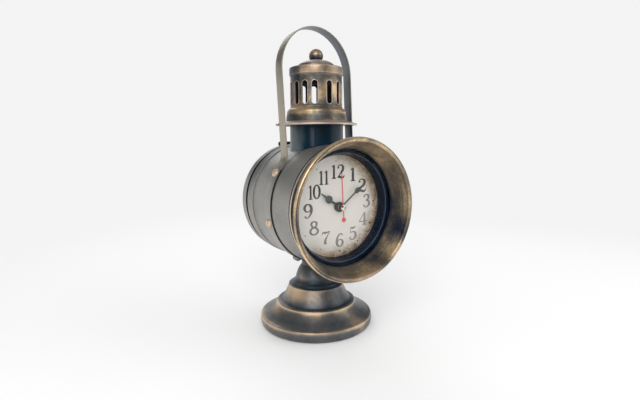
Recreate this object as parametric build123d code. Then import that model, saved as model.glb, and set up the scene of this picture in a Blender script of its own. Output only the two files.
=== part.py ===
from build123d import *
import os
from math import atan2, cos, hypot, radians, sin, sqrt, tan

os.makedirs("parts", exist_ok=True)

# A table clock shaped like an old signal lamp: a barrel on a turned stand, with a flared bell
# round the dial, a vented chimney, a strap handle, a hinged rear door and a quartz movement.
# Millimetres. +Z is up and -Y is the way the dial faces. The origin is on the table, under the
# stand's axis. Along the barrel, "ahead" is counted forwards from that axis, so ahead = -Y.

# Fits
sheet = 0.8            # rolled and spun casing sheet
slip_gap = 0.1         # between pieces that slip into each other
run_gap = 0.05         # between a shaft and its bearing, on the radius

# Stand
foot_inset = 0.7       # the foot's rim is narrower than the barrel by this, on the radius
foot_taper = 1.1       # from the rim in to the foot's lower edge
foot_lift = 0.6        # the rim clears the table, the pad does not
rim_height = 9.2
flange_inset = 1.5
flange_rise = 0.9
terrace_radius = 36.2
terrace_height = 20.2
terrace_edge = 1.5     # height of the upright edge of each terrace
terrace_ledge = 4.6    # how far each ledge runs in from its terrace edge
shoulder_ledge = 2.7
ledge_rise = 0.9
shoulder_radius = 25.3
shoulder_height = 35.7
bead_radius = 20.0     # rounded step at the foot of the neck
bead_height = 40.3
neck_foot_radius = 18.8
neck_foot_height = 42.0
neck_radius = 13.0
neck_height = 55.3
stand_wall = 1.2
saddle_dip = 4.4       # from the neck's edge up to the lowest line of the strap's bed
pad_gap = 0.3          # between the pad and the foot's wall
pad_thickness = 1.2
plate_thickness = 1.0
plate_gap = 0.5

# Barrel
barrel_radius = 52.1
barrel_front = 46.3
barrel_rear = -32.6
collar_front = -21.5
collar_thickness = 0.5
collar_bead = 0.2
rim_front = -37.3      # front face of the rear rim's visible ring
rim_rear = -46.0
rim_step = 0.1         # the rear rim is smaller than the barrel by this, on the radius
rim_ring_wall = 1.8
rim_spigot = 6.0
rim_lip = 2.2          # inward lip that the door closes on
rim_lip_thickness = 1.2

# Bell
bell_skirt = 2.0       # how far the bell reaches back over the barrel
bell_wall = 1.1
throat_inset = 3.3     # inwards from the barrel's outside
waist_inset = 1.4
bell_bead = 3.0         # the plain bead in front of the joint
lip_spread = 6.2       # from the barrel's outside out to the outside of the rolled lip
lip_ahead = 65.2       # front of the rolled lip
lip_roll = 2.1         # radius of the roll itself
bell_bow = 0.7         # how far the flare bows from a straight cone

# Bezel, lens and dial
bezel_wall = 1.1
lens_thickness = 1.3
ledge_width = 4.1      # where the lens rests
ledge_step = 0.5
bezel_cone = 2.2       # how much the cone narrows towards the dial
bezel_skirt = 3.0      # wall round the dial
dial_ahead = 36.0      # printed face of the dial
dial_thickness = 0.6
dial_hole = 2.9
retainer_overlap = 6.1 # how far it covers the dial's back
retainer_thickness = 1.0
retainer_screw_count = 3
retainer_screw_radius = 0.8
retainer_screw_head = 1.2
retainer_screw_length = 4.5

# Chimney
chimney_y = -3.0
neck_tube_radius = 23.4
neck_tube_flare = 1.2
neck_tube_flare_height = 1.0
brim_radius = 36.0
neck_tube_rise = 16.3  # from the barrel's top to the underside of the brim's edge
brim_rise = 3.8
brim_inner = 27.2
brim_thickness = 1.0
brim_roll = 0.8
collar_height = 13.0
collar_belly = 6.0     # height of its widest part
collar_shoulder = 2.4  # from its rounded shoulder up to its top
shoulder_inset = 3.0
vent_radius = 22.5
vent_collar_radius = 26.6
vent_wall = 1.0
slot_foot = 0.7        # from the collar's top to the slots
slot_length = 19.0
slot_width = 4.9
plain_panel = -19.3    # azimuth of the middle of the wide panel, 0 facing forwards
plain_span = 32.4      # degrees between the two slots beside it
left_slots = 6
left_pitch = 21.84     # degrees from slot to slot
right_slots = 8
right_pitch = 26.17
slot_head = 3.9        # from the slots to the crown
crown_radius = 23.4
crown_edge = 8.6       # height of the band's upper edge over the crown's foot
crown_height = 9.2     # up to the foot of the dome
crown_wall = 1.2
dome_radius = 16.4
dome_height = 6.1
dome_side = 2.5        # height of the dome's steep side
finial_radius = 6.15
finial_rise = 3.5      # the ball's centre over the dome
finial_seat = 5.0
finial_stud = 2.0
finial_nut_flats = 7.2
finial_nut_height = 2.4

# Handle strap: rises from the barrel, leans back and arches over the chimney
strap_width = 10.8
strap_thickness = 1.0
strap_front = -15.2    # front edge where it lies round the barrel
strap_shift = 3.6      # how much further back the legs start
strap_shift_length = 11.5
handle_lean = 4.35     # degrees
handle_half_width = 35.5
handle_foot_half_width = 34.6
handle_reach = 18.85   # clear height over the ball and its own thickness
arch_height = 39.0
brim_notch_gap = 0.4
rivet_angles = (57, 104, 151)
rivet_head_radius = 3.7
rivet_head_height = 2.5
rivet_shank = 1.3
rivet_tail_radius = 2.0
rivet_tail_height = 0.7

# Bolt that holds the barrel to the stand
bolt_radius = 3.0
bolt_head_radius = 5.2
bolt_head_height = 3.0
bolt_reach = 10.0      # below the neck plug
bolt_saddle_radius = 9.0
bolt_saddle_height = 2.2
nut_flats = 10.0
nut_height = 5.0
shim_radius = 12.4

# Rear door and its hinge
door_inset = 0.8       # in from the rim's edge
door_gap = 0.3
door_thickness = 0.8
door_flange = 13.6     # flat part round the dished middle
door_dish = 4.6
hinge_rise = 0.2       # the pin's height over the rim's top
hinge_knuckle = 2.3
hinge_pin_radius = 0.9
hinge_length = 20.0
hinge_middle = 9.6
knuckle_gap = 0.2
leaf_thickness = 0.7
rim_leaf_length = 6.0
leaf_margin = 0.6      # from the flange's inner edge to the leaf
hinge_rivet_radius = 1.0
hinge_rivet_head = 1.6
hinge_rivet_spread = 6.4
door_knob_radius = 4.2
door_knob_length = 7.0
door_knob_neck = 2.4

# Quartz movement
case_size = 56.0
case_depth = 16.0
case_wall = 1.2
gasket_radius = 9.0
gasket_thickness = 0.8
bush_radius = 2.7
bush_length = 3.4      # stands ahead of the case
hand_washer_radius = 3.9
hand_washer_thickness = 0.4
hand_nut_flats = 6.4
hand_nut_height = 1.4
second_shaft = 0.45
minute_pipe = 1.2
hour_pipe = 2.0
gear_depth = 0.8
pinion_depth = 1.2
addendum = 1.0         # in modules
dedendum = 1.25
tooth_root = 0.28      # half width of a tooth at its root, in pitches
tooth_tip = 0.12
third_distance = 10.8
third_angle = 160.0
middle_distance = 9.6
middle_angle = 75.0
rotor_distance = 8.4
rotor_angle = 10.0
motion_distance = 8.4
motion_angle = -15.0
knob_angle = 10.0
centre_teeth = 64
third_pinion_teeth = 8
third_teeth = 60
second_pinion_teeth = 8
second_teeth = 50
middle_pinion_teeth = 10
middle_teeth = 48
rotor_teeth = 8
cannon_teeth = 12
minute_teeth = 36
minute_pinion_teeth = 10
hour_teeth = 40
knob_teeth = 12
hour_gear_ahead = 31.9
minute_gear_ahead = 30.3
centre_gear_ahead = 28.4
third_gear_ahead = 26.2
second_gear_ahead = 24.2
middle_gear_ahead = 20.8
arbor_radius = 0.5
stout_arbor = 0.8
boss_wall = 0.9
train_plate_ahead = 25.2
train_plate_thickness = 0.75
train_plate_size = (47.0, 25.3)
train_plate_middle = 2.85
pillar_radius = 1.3
pillar_x = 22.0
pillar_low = -8.3
pillar_high = 14.0
magnet_radius = 2.6
magnet_length = 1.8
magnet_ahead = 22.3
stator_hole = 3.1
stator_ahead = 22.8
stator_thickness = 0.8
stator_arm = 3.0
coil_radius = 3.2
coil_length = 24.0
coil_y = 21.5
coil_middle = 3.0
core_width = 2.0
core_length = 38.0
cheek_radius = 3.4
cheek_thickness = 0.8
board_size = (24.0, 9.4)
board_middle = (12.0, 20.7)
board_ahead = 28.0
board_thickness = 1.0
chip_radius = 2.4
chip_height = 0.9
battery_radius = 7.15
contact_spring = 1.65  # sprung length left at each end of the battery
battery_nub_radius = 2.7
battery_nub_length = 1.2
battery_gap = 0.65     # from the battery to the case's lower wall
battery_ahead = 26.0
bay_rib = 0.8
bay_gap = 0.3
contact_thickness = 0.4
contact_width = 12.0
contact_tail = 3.0
knob_shaft = 1.5
knob_radius = 5.5
knob_length = 4.4
knob_ribs = 18
knob_standoff = 0.6

# Hands, with the time that the photo shows
hour_angle = 304.3     # degrees clockwise from twelve
minute_angle = 52.4
second_angle = 356.7
hand_thickness = 0.4
hour_hand_ahead = 38.3
hour_hub_radius = 4.35
hour_blob_reach = 12.8
hour_blob_radius = 3.5
hour_tip_reach = 22.0
minute_hand_ahead = 40.3
minute_hub_radius = 2.4
minute_blob_reach = 21.6
minute_blob_radius = 2.6
minute_tip_reach = 29.6
hand_stem = 0.95
second_hand_ahead = 43.6
second_hand_thickness = 0.3
second_hand_width = 0.9
second_tip_reach = 29.1
second_tail_reach = 10.2
second_tail_radius = 2.0
second_socket_radius = 0.95
second_socket_length = 2.0
cap_radius = 2.2
cap_height = 0.7

# Worked out from the sizes above
barrel_inner = barrel_radius - sheet
strap_radius = barrel_radius + strap_thickness
barrel_axis = neck_height + saddle_dip + strap_radius
rim_radius = barrel_radius - foot_inset
foot_radius = rim_radius - foot_taper
flange_radius = rim_radius - flange_inset
pad_radius = foot_radius - stand_wall - pad_gap
plate_radius = foot_radius - stand_wall - plate_gap
rim_ring_radius = barrel_radius - rim_step
throat_radius = barrel_radius - throat_inset
waist_radius = barrel_radius - waist_inset
lip_radius = barrel_radius + lip_spread
bezel_radius = barrel_inner - slip_gap
lens_radius = bezel_radius - bezel_wall - slip_gap
ledge_radius = lens_radius - ledge_width
dial_view_radius = ledge_radius - ledge_step - bezel_cone
dial_radius = bezel_radius - bezel_skirt - slip_gap
retainer_outer = bezel_radius - 3 * slip_gap
retainer_inner = dial_radius - retainer_overlap
retainer_screw_circle = bezel_radius - bezel_skirt / 2
bezel_front = barrel_front
bezel_rear = dial_ahead - dial_thickness
ledge_ahead = bezel_front - lens_thickness
case_front = bezel_rear - gasket_thickness
case_rear = case_front - case_depth
case_floor = case_front - case_wall
cover_face = case_rear + case_wall
battery_length = case_size - 2 * (case_wall + contact_thickness + contact_spring)
battery_y = case_wall + battery_gap + battery_radius - case_size / 2
brim_height = barrel_axis + barrel_radius + neck_tube_rise
vent_bottom = brim_height + brim_rise
collar_top = vent_bottom + collar_height
slot_bottom = collar_top + slot_foot
slot_top = slot_bottom + slot_length
crown_bottom = slot_top + slot_head
dome_base = crown_bottom + crown_height
dome_top = dome_base + dome_height
finial_height = dome_top + finial_rise
handle_top = finial_height + finial_radius + handle_reach
arch_spring = handle_top - arch_height
strap_shift_high = barrel_axis + sqrt(strap_radius ** 2 - handle_foot_half_width ** 2)
strap_shift_low = strap_shift_high - strap_shift_length
rivet_y = strap_front + strap_width / 2
door_radius = rim_ring_radius - door_inset
door_bend = door_radius - door_flange
door_leaf_bottom = barrel_axis + door_bend + leaf_margin
door_knob_drop = door_radius - door_flange / 2
hinge_height = barrel_axis + rim_ring_radius + hinge_rise
hinge_y = -rim_rear + door_gap + door_thickness + hinge_knuckle

FRONT = Plane(origin=(0, 0, barrel_axis), x_dir=(1, 0, 0), z_dir=(0, -1, 0))
ABOVE = Pos(0, chimney_y, 0)


def outline(*points):
    """A closed face. A third number bows the side that ends at that point, to its right."""
    sides = []
    corner = points[-1]
    for point in points:
        bow = point[2] if len(point) == 3 else 0
        if bow:
            sides.append(SagittaArc(corner[:2], point[:2], -bow))
        else:
            sides.append(Line(corner[:2], point[:2]))
        corner = point
    return make_face(sides)


def cap_bow(radius, rise):
    """The bow of a round cap's side, from its rim to its middle, so that the middle is level."""
    return hypot(radius, rise) / 2 * tan(atan2(rise, radius) / 2)


def turned(*points):
    """A solid turned about Z from (radius, height) points."""
    return revolve(Plane.XZ * outline(*points), Axis.Z)


def rod(radius, low, high, x=0, y=0):
    """A round bar along local Z, between two levels."""
    return Pos(x, y, low) * Cylinder(radius, high - low, align=(Align.CENTER, Align.CENTER, Align.MIN))


def ring(inner, outer, low, high, x=0, y=0):
    return rod(outer, low, high, x, y) - rod(inner, low, high, x, y)


def block(x, y, z, low, high):
    """A box about (x, y) in plan, given as half sizes, between two levels."""
    return Pos(x[0], y[0], (low + high) / 2) * Box(2 * x[1], 2 * y[1], high - low)


def save(shape, name):
    shape.label = name
    export_step(shape, "parts/" + name + ".step")


# Stand

def barrel_bar(radius):
    """The space of a cylinder on the barrel's axis, longer than the barrel."""
    return FRONT * rod(radius, barrel_rear - radius, barrel_front + radius)


def stand_stations(inset):
    """The turned outline from the foot up to the neck, set in by the wall for the inside."""
    terrace_top = terrace_height + terrace_edge
    shoulder_top = shoulder_height + terrace_edge
    stations = (
        (rim_radius, rim_height, 0.9),
        (flange_radius, rim_height + flange_rise, 0.2),
        (terrace_radius, terrace_height, -1.1),
        (terrace_radius - 0.9, terrace_top, 0.25),
        (terrace_radius - terrace_ledge, terrace_top + ledge_rise),
        (shoulder_radius, shoulder_height, -0.3),
        (shoulder_radius - 0.7, shoulder_top, 0.25),
        (shoulder_radius - shoulder_ledge, shoulder_top + ledge_rise),
        (bead_radius, bead_height, 0.35),
        (neck_foot_radius, neck_foot_height, -0.1),
        (neck_radius, neck_height, 1.05),
    )
    return [(r - inset, z - inset, *bow) for r, z, *bow in stations]


def pedestal():
    outer = turned((0, foot_lift), (foot_radius, foot_lift), *stand_stations(0),
                   (neck_radius - 0.4, barrel_axis), (0, barrel_axis))
    top = neck_height - stand_wall
    hollow = turned((0, 0), (foot_radius - stand_wall, 0), *stand_stations(stand_wall), (0, top))
    bolt_hole = rod(bolt_radius + slip_gap, 0, barrel_axis)
    return outer - hollow - barrel_bar(strap_radius) - bolt_hole


def base_plate():
    low = pad_thickness
    return ring(bolt_radius, plate_radius, low, low + plate_thickness)


def base_pad():
    return rod(pad_radius, 0, pad_thickness)


def saddle_shim():
    """A curved washer that fills the strap's thickness behind the strap."""
    post = rod(shim_radius, barrel_axis - strap_radius - 5, barrel_axis - barrel_radius + 5)
    shell = barrel_bar(strap_radius) - barrel_bar(barrel_radius)
    behind = Pos(0, strap_front + strap_width + slip_gap, 0) * Box(
        4 * shim_radius, 4 * shim_radius, 4 * barrel_axis, align=(Align.CENTER, Align.MIN, Align.CENTER))
    return post & shell & behind - rod(bolt_radius + slip_gap, 0, barrel_axis)


def bolt_saddle():
    floor = barrel_axis - barrel_inner
    post = rod(bolt_saddle_radius, floor - 2, floor + bolt_saddle_height)
    return (post & barrel_bar(barrel_inner)) - rod(bolt_radius + slip_gap, 0, barrel_axis)


def stand_bolt():
    seat = barrel_axis - barrel_inner + bolt_saddle_height
    plug_bottom = neck_height - stand_wall
    head = rod(bolt_head_radius, seat, seat + bolt_head_height)
    socket = Pos(0, 0, seat + bolt_head_height / 2) * extrude(
        RegularPolygon(bolt_radius * 0.8, 6, major_radius=False), amount=bolt_head_height)
    return head + rod(bolt_radius, plug_bottom - bolt_reach, seat) - socket


def stand_nut():
    plug_bottom = neck_height - stand_wall
    nut = extrude(RegularPolygon(nut_flats / 2, 6, major_radius=False), amount=-nut_height)
    return Pos(0, 0, plug_bottom) * nut - rod(bolt_radius, 0, barrel_axis)


# Barrel

def rivet_spots():
    """Places on the barrel where the strap's rivets go, with their outward turn from the top."""
    return [side * angle for angle in rivet_angles for side in (-1, 1)]


def radial(turn, y, radius):
    """A location on the barrel with its local Z pointing straight out."""
    out = radians(turn)
    point = (radius * sin(out), y, barrel_axis + radius * cos(out))
    return Location(Plane(origin=point, x_dir=(0, 1, 0), z_dir=(sin(out), 0, cos(out))))


def rivet_holes(reach):
    holes = Part()
    for turn in rivet_spots():
        holes += radial(turn, rivet_y, barrel_radius) * rod(rivet_shank, -reach, reach)
    return holes


def barrel():
    shell = FRONT * ring(barrel_inner, barrel_radius, barrel_rear, barrel_front)
    return shell - rivet_holes(3) - rod(bolt_radius + slip_gap, 0, barrel_axis)


def rear_collar():
    outer = barrel_radius + collar_thickness
    front = collar_front
    section = turned((barrel_radius, barrel_rear), (outer - 0.2, barrel_rear),
                     (outer, barrel_rear + 1.2, collar_bead), (outer, front - 0.3), (outer - 0.3, front),
                     (barrel_radius, front))
    neck_space = rod(neck_tube_radius + neck_tube_flare + slip_gap, barrel_axis, brim_height)
    return FRONT * section - ABOVE * neck_space


def rear_rim():
    spigot = bezel_radius
    bore = rim_ring_radius - rim_ring_wall
    lip = bore - rim_lip
    ring_body = turned(
        (bore, barrel_rear + rim_spigot), (spigot, barrel_rear + rim_spigot), (spigot, rim_front),
        (rim_ring_radius - 0.3, rim_front), (rim_ring_radius, rim_front - 0.5, -0.1),
        (rim_ring_radius, rim_rear + 1.6), (rim_ring_radius - 1.2, rim_rear, -0.35),
        (lip, rim_rear), (lip, rim_rear + rim_lip_thickness), (bore, rim_rear + rim_lip_thickness))
    return FRONT * ring_body - rim_rivet_space(-hinge_middle / 4) - rim_rivet_space(hinge_middle / 4)


# Bell, bezel and dial

def bell():
    skirt = barrel_radius + slip_gap / 2
    back = barrel_front
    face = back + bell_wall
    roll_centre = (lip_radius - lip_roll, lip_ahead - lip_roll)
    horn = turned(
        (skirt, back - bell_skirt), (skirt + sheet, back - bell_skirt), (skirt + sheet, back + bell_bead),
        (waist_radius, back + bell_bead + 0.3),
        (roll_centre[0] + 0.5, roll_centre[1], -bell_bow),
        (roll_centre[0] - 1.1, roll_centre[1] + 0.2),
        (throat_radius, face, bell_bow), (throat_radius, back), (skirt, back))
    lip = revolve(Plane.XZ * Pos(*roll_centre) * Circle(lip_roll), Axis.Z)
    return FRONT * (horn + lip)


def bezel_ring():
    outer = bezel_radius
    recess = lens_radius + slip_gap
    body = turned(
        (outer, bezel_rear), (outer, bezel_front), (recess, bezel_front), (recess, ledge_ahead),
        (ledge_radius, ledge_ahead), (ledge_radius - ledge_step, ledge_ahead - ledge_step),
        (ledge_radius - ledge_step, ledge_ahead - 3 * ledge_step),
        (dial_view_radius, dial_ahead + 0.6), (dial_view_radius, dial_ahead),
        (dial_radius + slip_gap, dial_ahead), (dial_radius + slip_gap, bezel_rear))
    depth = retainer_screw_length - retainer_thickness
    holes = Part()
    for spot in PolarLocations(retainer_screw_circle, retainer_screw_count):
        holes += spot * rod(retainer_screw_radius, bezel_rear, bezel_rear + depth)
    return FRONT * (body - holes)


def lens():
    edge = 0.3
    return FRONT * turned((0, ledge_ahead), (lens_radius, ledge_ahead),
                          (lens_radius, bezel_front - edge), (lens_radius - edge, bezel_front),
                          (0, bezel_front))


def dial():
    return FRONT * ring(dial_hole, dial_radius, bezel_rear, dial_ahead)


def dial_retainer():
    plate = ring(retainer_inner, retainer_outer, bezel_rear - retainer_thickness, bezel_rear)
    for spot in PolarLocations(retainer_screw_circle, retainer_screw_count):
        plate -= spot * rod(retainer_screw_radius + slip_gap, 0, barrel_front)
    return FRONT * plate


def retainer_screws():
    back = bezel_rear - retainer_thickness
    screw = rod(retainer_screw_radius, back, back + retainer_screw_length)
    screw += turned((0, back - 0.9), (retainer_screw_head, back - 0.5, 0.3), (retainer_screw_head, back), (0, back))
    slot = Pos(0, 0, back - 0.9) * Box(3, 0.4, 0.7)
    screw -= slot
    return FRONT * Compound([spot * screw for spot in PolarLocations(retainer_screw_circle, retainer_screw_count)])


# Chimney

def neck_tube():
    tube = ring(neck_tube_radius - sheet, neck_tube_radius, barrel_axis, brim_height + brim_rise)
    flare = ring(neck_tube_radius - sheet, neck_tube_radius + neck_tube_flare, barrel_axis, brim_height)
    flare = (ABOVE * flare) & barrel_bar(barrel_radius + neck_tube_flare_height)
    return (ABOVE * tube + flare) - barrel_bar(barrel_radius)


def leg_front(z):
    """Where the handle's leaning legs have their front edge."""
    return strap_front + strap_shift + (z - strap_shift_high) * tan(radians(handle_lean))


def brim_notches():
    """Spaces for the two legs, open towards the brim's edge."""
    middle = brim_height + brim_rise / 2
    inside = handle_foot_half_width - strap_thickness - brim_notch_gap
    spaces = Part()
    for side in (-1, 1):
        spaces += Pos(side * (inside + 10), leg_front(middle) + strap_width / 2, middle) * Box(
            20, strap_width + 2 * brim_notch_gap, 4 * brim_rise)
    return spaces


def brim():
    low = brim_height
    top = low + brim_rise
    cone = turned(
        (neck_tube_radius + slip_gap, top - brim_thickness), (brim_inner, top - brim_thickness),
        (brim_radius - brim_roll, low), (brim_radius, low + brim_roll, 0.3),
        (brim_radius - brim_roll, low + 2 * brim_roll, 0.3), (brim_inner, top),
        (neck_tube_radius + slip_gap, top))
    return ABOVE * cone - brim_notches()


def slot_turns():
    """Azimuths of the slots on both sides of the plain panel. A second plain panel is left behind."""
    left = [plain_panel - plain_span / 2 - left_pitch * k for k in range(left_slots)]
    right = [plain_panel + plain_span / 2 + right_pitch * k for k in range(right_slots)]
    return left + right


def slot_shape(width, low, high, reach):
    """One upright slot with round ends, lying in the plane that faces forwards."""
    face = SlotOverall(high - low, width, rotation=90)
    upright = Plane(origin=(0, 0, (low + high) / 2), x_dir=(1, 0, 0), z_dir=(0, -1, 0)) * face
    return extrude(upright, amount=reach)


def vent_body():
    low = vent_bottom
    foot = vent_collar_radius
    belly = low + collar_belly
    shoulder = collar_top - collar_shoulder
    body = turned(
        (foot - vent_wall, low), (foot, low, 0), (foot, low + 1.6), (foot - 0.7, belly, 0.1),
        (foot - shoulder_inset, shoulder, 0.7), (vent_radius + 0.3, collar_top - 0.6, 0.1),
        (vent_radius, collar_top), (vent_radius, crown_bottom), (vent_radius - vent_wall, crown_bottom),
        (vent_radius - vent_wall, collar_top - 1.2), (foot - shoulder_inset - 0.8, shoulder - 0.6),
        (foot - vent_wall - 0.7, belly, -0.5))
    for turn in slot_turns():
        body -= Rot(0, 0, turn) * slot_shape(slot_width, slot_bottom, slot_top, vent_radius + 2)
    return ABOVE * body


def crown_cap():
    low = crown_bottom
    edge = low + crown_edge
    inner = vent_radius - vent_wall - slip_gap
    under = dome_top - crown_wall
    body = turned(
        (inner - vent_wall, low - 3), (inner, low - 3), (inner, low), (vent_radius, low),
        (vent_radius + 0.2, low + 1.5), (crown_radius, low + 2.3, -0.1), (crown_radius, edge - 1.0),
        (crown_radius - 1.0, edge, 0.3), (dome_radius, dome_base),
        (dome_radius - 1.2, dome_base + dome_side, 0.2), (finial_seat, dome_top, 0.85),
        (0, dome_top), (0, under), (finial_seat, under),
        (dome_radius - 2.2, dome_base + dome_side / 2, -0.7), (dome_radius - 1.4, edge - crown_wall),
        (crown_radius - 1.7, edge - crown_wall), (crown_radius - 1.3, low + 3.0),
        (inner - vent_wall, low + 1.0))
    return ABOVE * body - ABOVE * rod(finial_stud + slip_gap, dome_base, finial_height)


def finial():
    seat = dome_top
    ball = Pos(0, 0, finial_height) * Sphere(finial_radius)
    ball -= rod(finial_radius + 1, seat - 2 * finial_radius, seat)
    nut_top = seat - crown_wall
    return ABOVE * (ball + rod(finial_stud, nut_top - finial_nut_height - 0.8, seat + 1))


def finial_nut():
    top = dome_top - crown_wall
    nut = extrude(RegularPolygon(finial_nut_flats / 2, 6, major_radius=False), amount=-finial_nut_height)
    return ABOVE * (Pos(0, 0, top) * nut - rod(finial_stud, 0, finial_height))


# Handle strap

def strap_arch(offset):
    """The region under the handle, moved out by the offset: two legs and a half ellipse."""
    half = handle_half_width + offset
    foot = handle_foot_half_width + offset
    low = barrel_axis + barrel_radius / 2
    legs = outline((-foot, low), (foot, low), (half, arch_spring), (-half, arch_spring))
    crown = Pos(0, arch_spring) * Ellipse(half, arch_height + offset)
    below = Pos(0, arch_spring - handle_top / 2) * Rectangle(handle_top, handle_top)
    return legs + (crown - below)


def strap_side():
    """The loop's outline seen from the side: upright round the barrel, stepped, then leaning."""
    top = handle_top + strap_width
    front = ((strap_front, 0), (strap_front, strap_shift_low),
             (leg_front(strap_shift_high), strap_shift_high), (leg_front(top), top))
    back = [(y + strap_width, z) for y, z in reversed(front)]
    return extrude(Plane.YZ * outline(*reversed(back), *reversed(front)), amount=2 * strap_radius, both=True)


def handle_strap():
    foot_z = barrel_axis + sqrt(strap_radius ** 2 - handle_foot_half_width ** 2)
    arch = extrude(Plane.XZ * (strap_arch(0) - strap_arch(-strap_thickness)), amount=strap_radius, both=True)
    band = barrel_bar(strap_radius) - barrel_bar(barrel_radius)
    half = handle_foot_half_width - strap_thickness
    opening = Pos(0, 0, foot_z - 6) * Box(2 * half, 4 * strap_width, handle_top, align=(
        Align.CENTER, Align.CENTER, Align.MIN))
    loop = (band - opening) + (arch - barrel_bar(barrel_radius))
    return (loop & strap_side()) - rivet_holes(3)


def strap_rivets():
    rivets = []
    wall = barrel_bar(strap_radius) - barrel_bar(barrel_inner)
    base = strap_thickness - 0.2
    middle = rivet_head_radius * 0.55
    crown = strap_thickness + rivet_head_height
    tail_top = -sheet + 0.2
    for turn in rivet_spots():
        dome = turned((0, base), (rivet_head_radius, base), (rivet_head_radius, strap_thickness + 0.3),
                      (middle, crown - 0.3, 0.3), (0, crown, cap_bow(middle, 0.3)))
        tail = turned((0, tail_top - 0.2 - rivet_tail_height), (rivet_tail_radius, tail_top - 0.6),
                      (rivet_tail_radius, tail_top), (0, tail_top))
        shank = rod(rivet_shank, -sheet - 0.2, strap_thickness + 0.2)
        spot = radial(turn, rivet_y, barrel_radius)
        rivets.append(spot * (dome + tail) - wall + spot * shank)
    return Compound(rivets)


# Rear door

def rear_door():
    front = rim_rear - door_gap
    back = front - door_thickness
    bend = door_bend
    bow = cap_bow(bend, door_dish)
    pan = turned(
        (0, back - door_dish), (bend, back, bow), (door_radius, back), (door_radius, front),
        (bend, front), (0, front - door_dish, -bow))
    door = FRONT * pan
    for x in (-hinge_rivet_spread, hinge_rivet_spread):
        door -= leaf_bore(x, -front - 2, -back + 2)
    return door - knob_bore()


def leaf_bore(x, low, high, radius=hinge_rivet_radius):
    """A round space through the door leaf along Y."""
    middle = (door_leaf_bottom + hinge_height - hinge_knuckle) / 2 - 1.5
    return Pos(x, (low + high) / 2, middle) * Rot(90, 0, 0) * Cylinder(radius, high - low)


def knob_bore():
    back = -(rim_rear - door_gap - door_thickness)
    spot = Pos(0, back, barrel_axis - door_knob_drop)
    return spot * Rot(90, 0, 0) * Cylinder(door_knob_neck / 2, 8)


def knuckle(low, high, bore):
    """A stretch of the hinge barrel between two X places, bored for the pin."""
    body = Cylinder(hinge_knuckle, high - low) - Cylinder(bore, high - low)
    return Pos((low + high) / 2, hinge_y, hinge_height) * Rot(0, 90, 0) * body


def pin_space(radius):
    return Pos(0, hinge_y, hinge_height) * Rot(0, 90, 0) * Cylinder(radius, 2 * hinge_length)


def rim_hinge_leaf():
    """Lies on the rim's ring, steps up and ends in the middle knuckle."""
    half = hinge_middle / 2
    ring_top = barrel_axis + rim_ring_radius
    front = -rim_rear - rim_leaf_length
    top = hinge_height + hinge_knuckle
    leaf = extrude(Plane.YZ * outline(
        (front, ring_top - 2), (-rim_rear - 0.6, ring_top - 2), (-rim_rear + 0.6, top - leaf_thickness),
        (hinge_y, top - leaf_thickness), (hinge_y, top), (-rim_rear, top),
        (-rim_rear - 1.2, ring_top + leaf_thickness), (front, ring_top + leaf_thickness)),
        amount=half, both=True)
    leaf -= barrel_bar(rim_ring_radius)
    leaf += knuckle(-half, half, hinge_pin_radius)
    for x in (-half / 2, half / 2):
        leaf -= rim_rivet_space(x)
    return leaf - pin_space(hinge_pin_radius)


def rim_rivet_space(x):
    spot = Pos(x, -rim_rear - rim_leaf_length / 2 - 1.2, barrel_axis + rim_ring_radius)
    return spot * Cylinder(hinge_rivet_radius * 0.6, 8)


def rim_hinge_rivets():
    rivets = []
    half = hinge_middle / 2
    for x in (-half / 2, half / 2):
        spot = Pos(x, -rim_rear - rim_leaf_length / 2 - 1.2, barrel_axis + rim_ring_radius)
        seat = leaf_thickness
        head = turned((0, seat), (hinge_rivet_head * 0.7, seat),
                      (0, seat + 0.6, cap_bow(hinge_rivet_head * 0.7, 0.6)))
        shank = rod(hinge_rivet_radius * 0.6, -rim_ring_wall - 0.4, seat)
        rivets.append(spot * (head + shank))
    return Compound(rivets)


def door_hinge_leaf():
    """Lies on the door's flange and ends in the two outer knuckles."""
    half = hinge_length / 2
    face = -(rim_rear - door_gap - door_thickness)
    leaf = Pos(0, face + leaf_thickness / 2, (door_leaf_bottom + hinge_height) / 2) * Box(
        2 * half, leaf_thickness, hinge_height - door_leaf_bottom)
    notch = hinge_middle / 2 + knuckle_gap
    leaf -= Pos(0, face, hinge_height) * Box(2 * notch, 8, 2 * (hinge_knuckle + 0.6))
    bore = hinge_pin_radius + run_gap
    leaf += knuckle(notch, half, bore)
    leaf += knuckle(-half, -notch, bore)
    for x in (-hinge_rivet_spread, hinge_rivet_spread):
        leaf -= leaf_bore(x, face - 1, face + 2)
    return leaf - pin_space(bore)


def door_hinge_rivets():
    rivets = []
    face = -(rim_rear - door_gap)
    outside = face + door_thickness + leaf_thickness
    middle = (door_leaf_bottom + hinge_height - hinge_knuckle) / 2 - 1.5
    for x in (-hinge_rivet_spread, hinge_rivet_spread):
        shank = leaf_bore(x, face, outside)
        dome = turned((0, 0), (hinge_rivet_head, 0), (0, 0.8, cap_bow(hinge_rivet_head, 0.8)))
        rivets.append(shank + Pos(x, outside, middle) * Rot(-90, 0, 0) * dome)
    return Compound(rivets)


def hinge_pin():
    reach = hinge_length / 2
    pin = rod(hinge_pin_radius, -reach - 0.2, reach + 0.2)
    for end in (-1, 1):
        low = min(end * (reach + 0.2), end * (reach + 0.8))
        pin += rod(hinge_pin_radius * 1.4, low, low + 0.6)
    return Pos(0, hinge_y, hinge_height) * Rot(0, 90, 0) * pin


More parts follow.
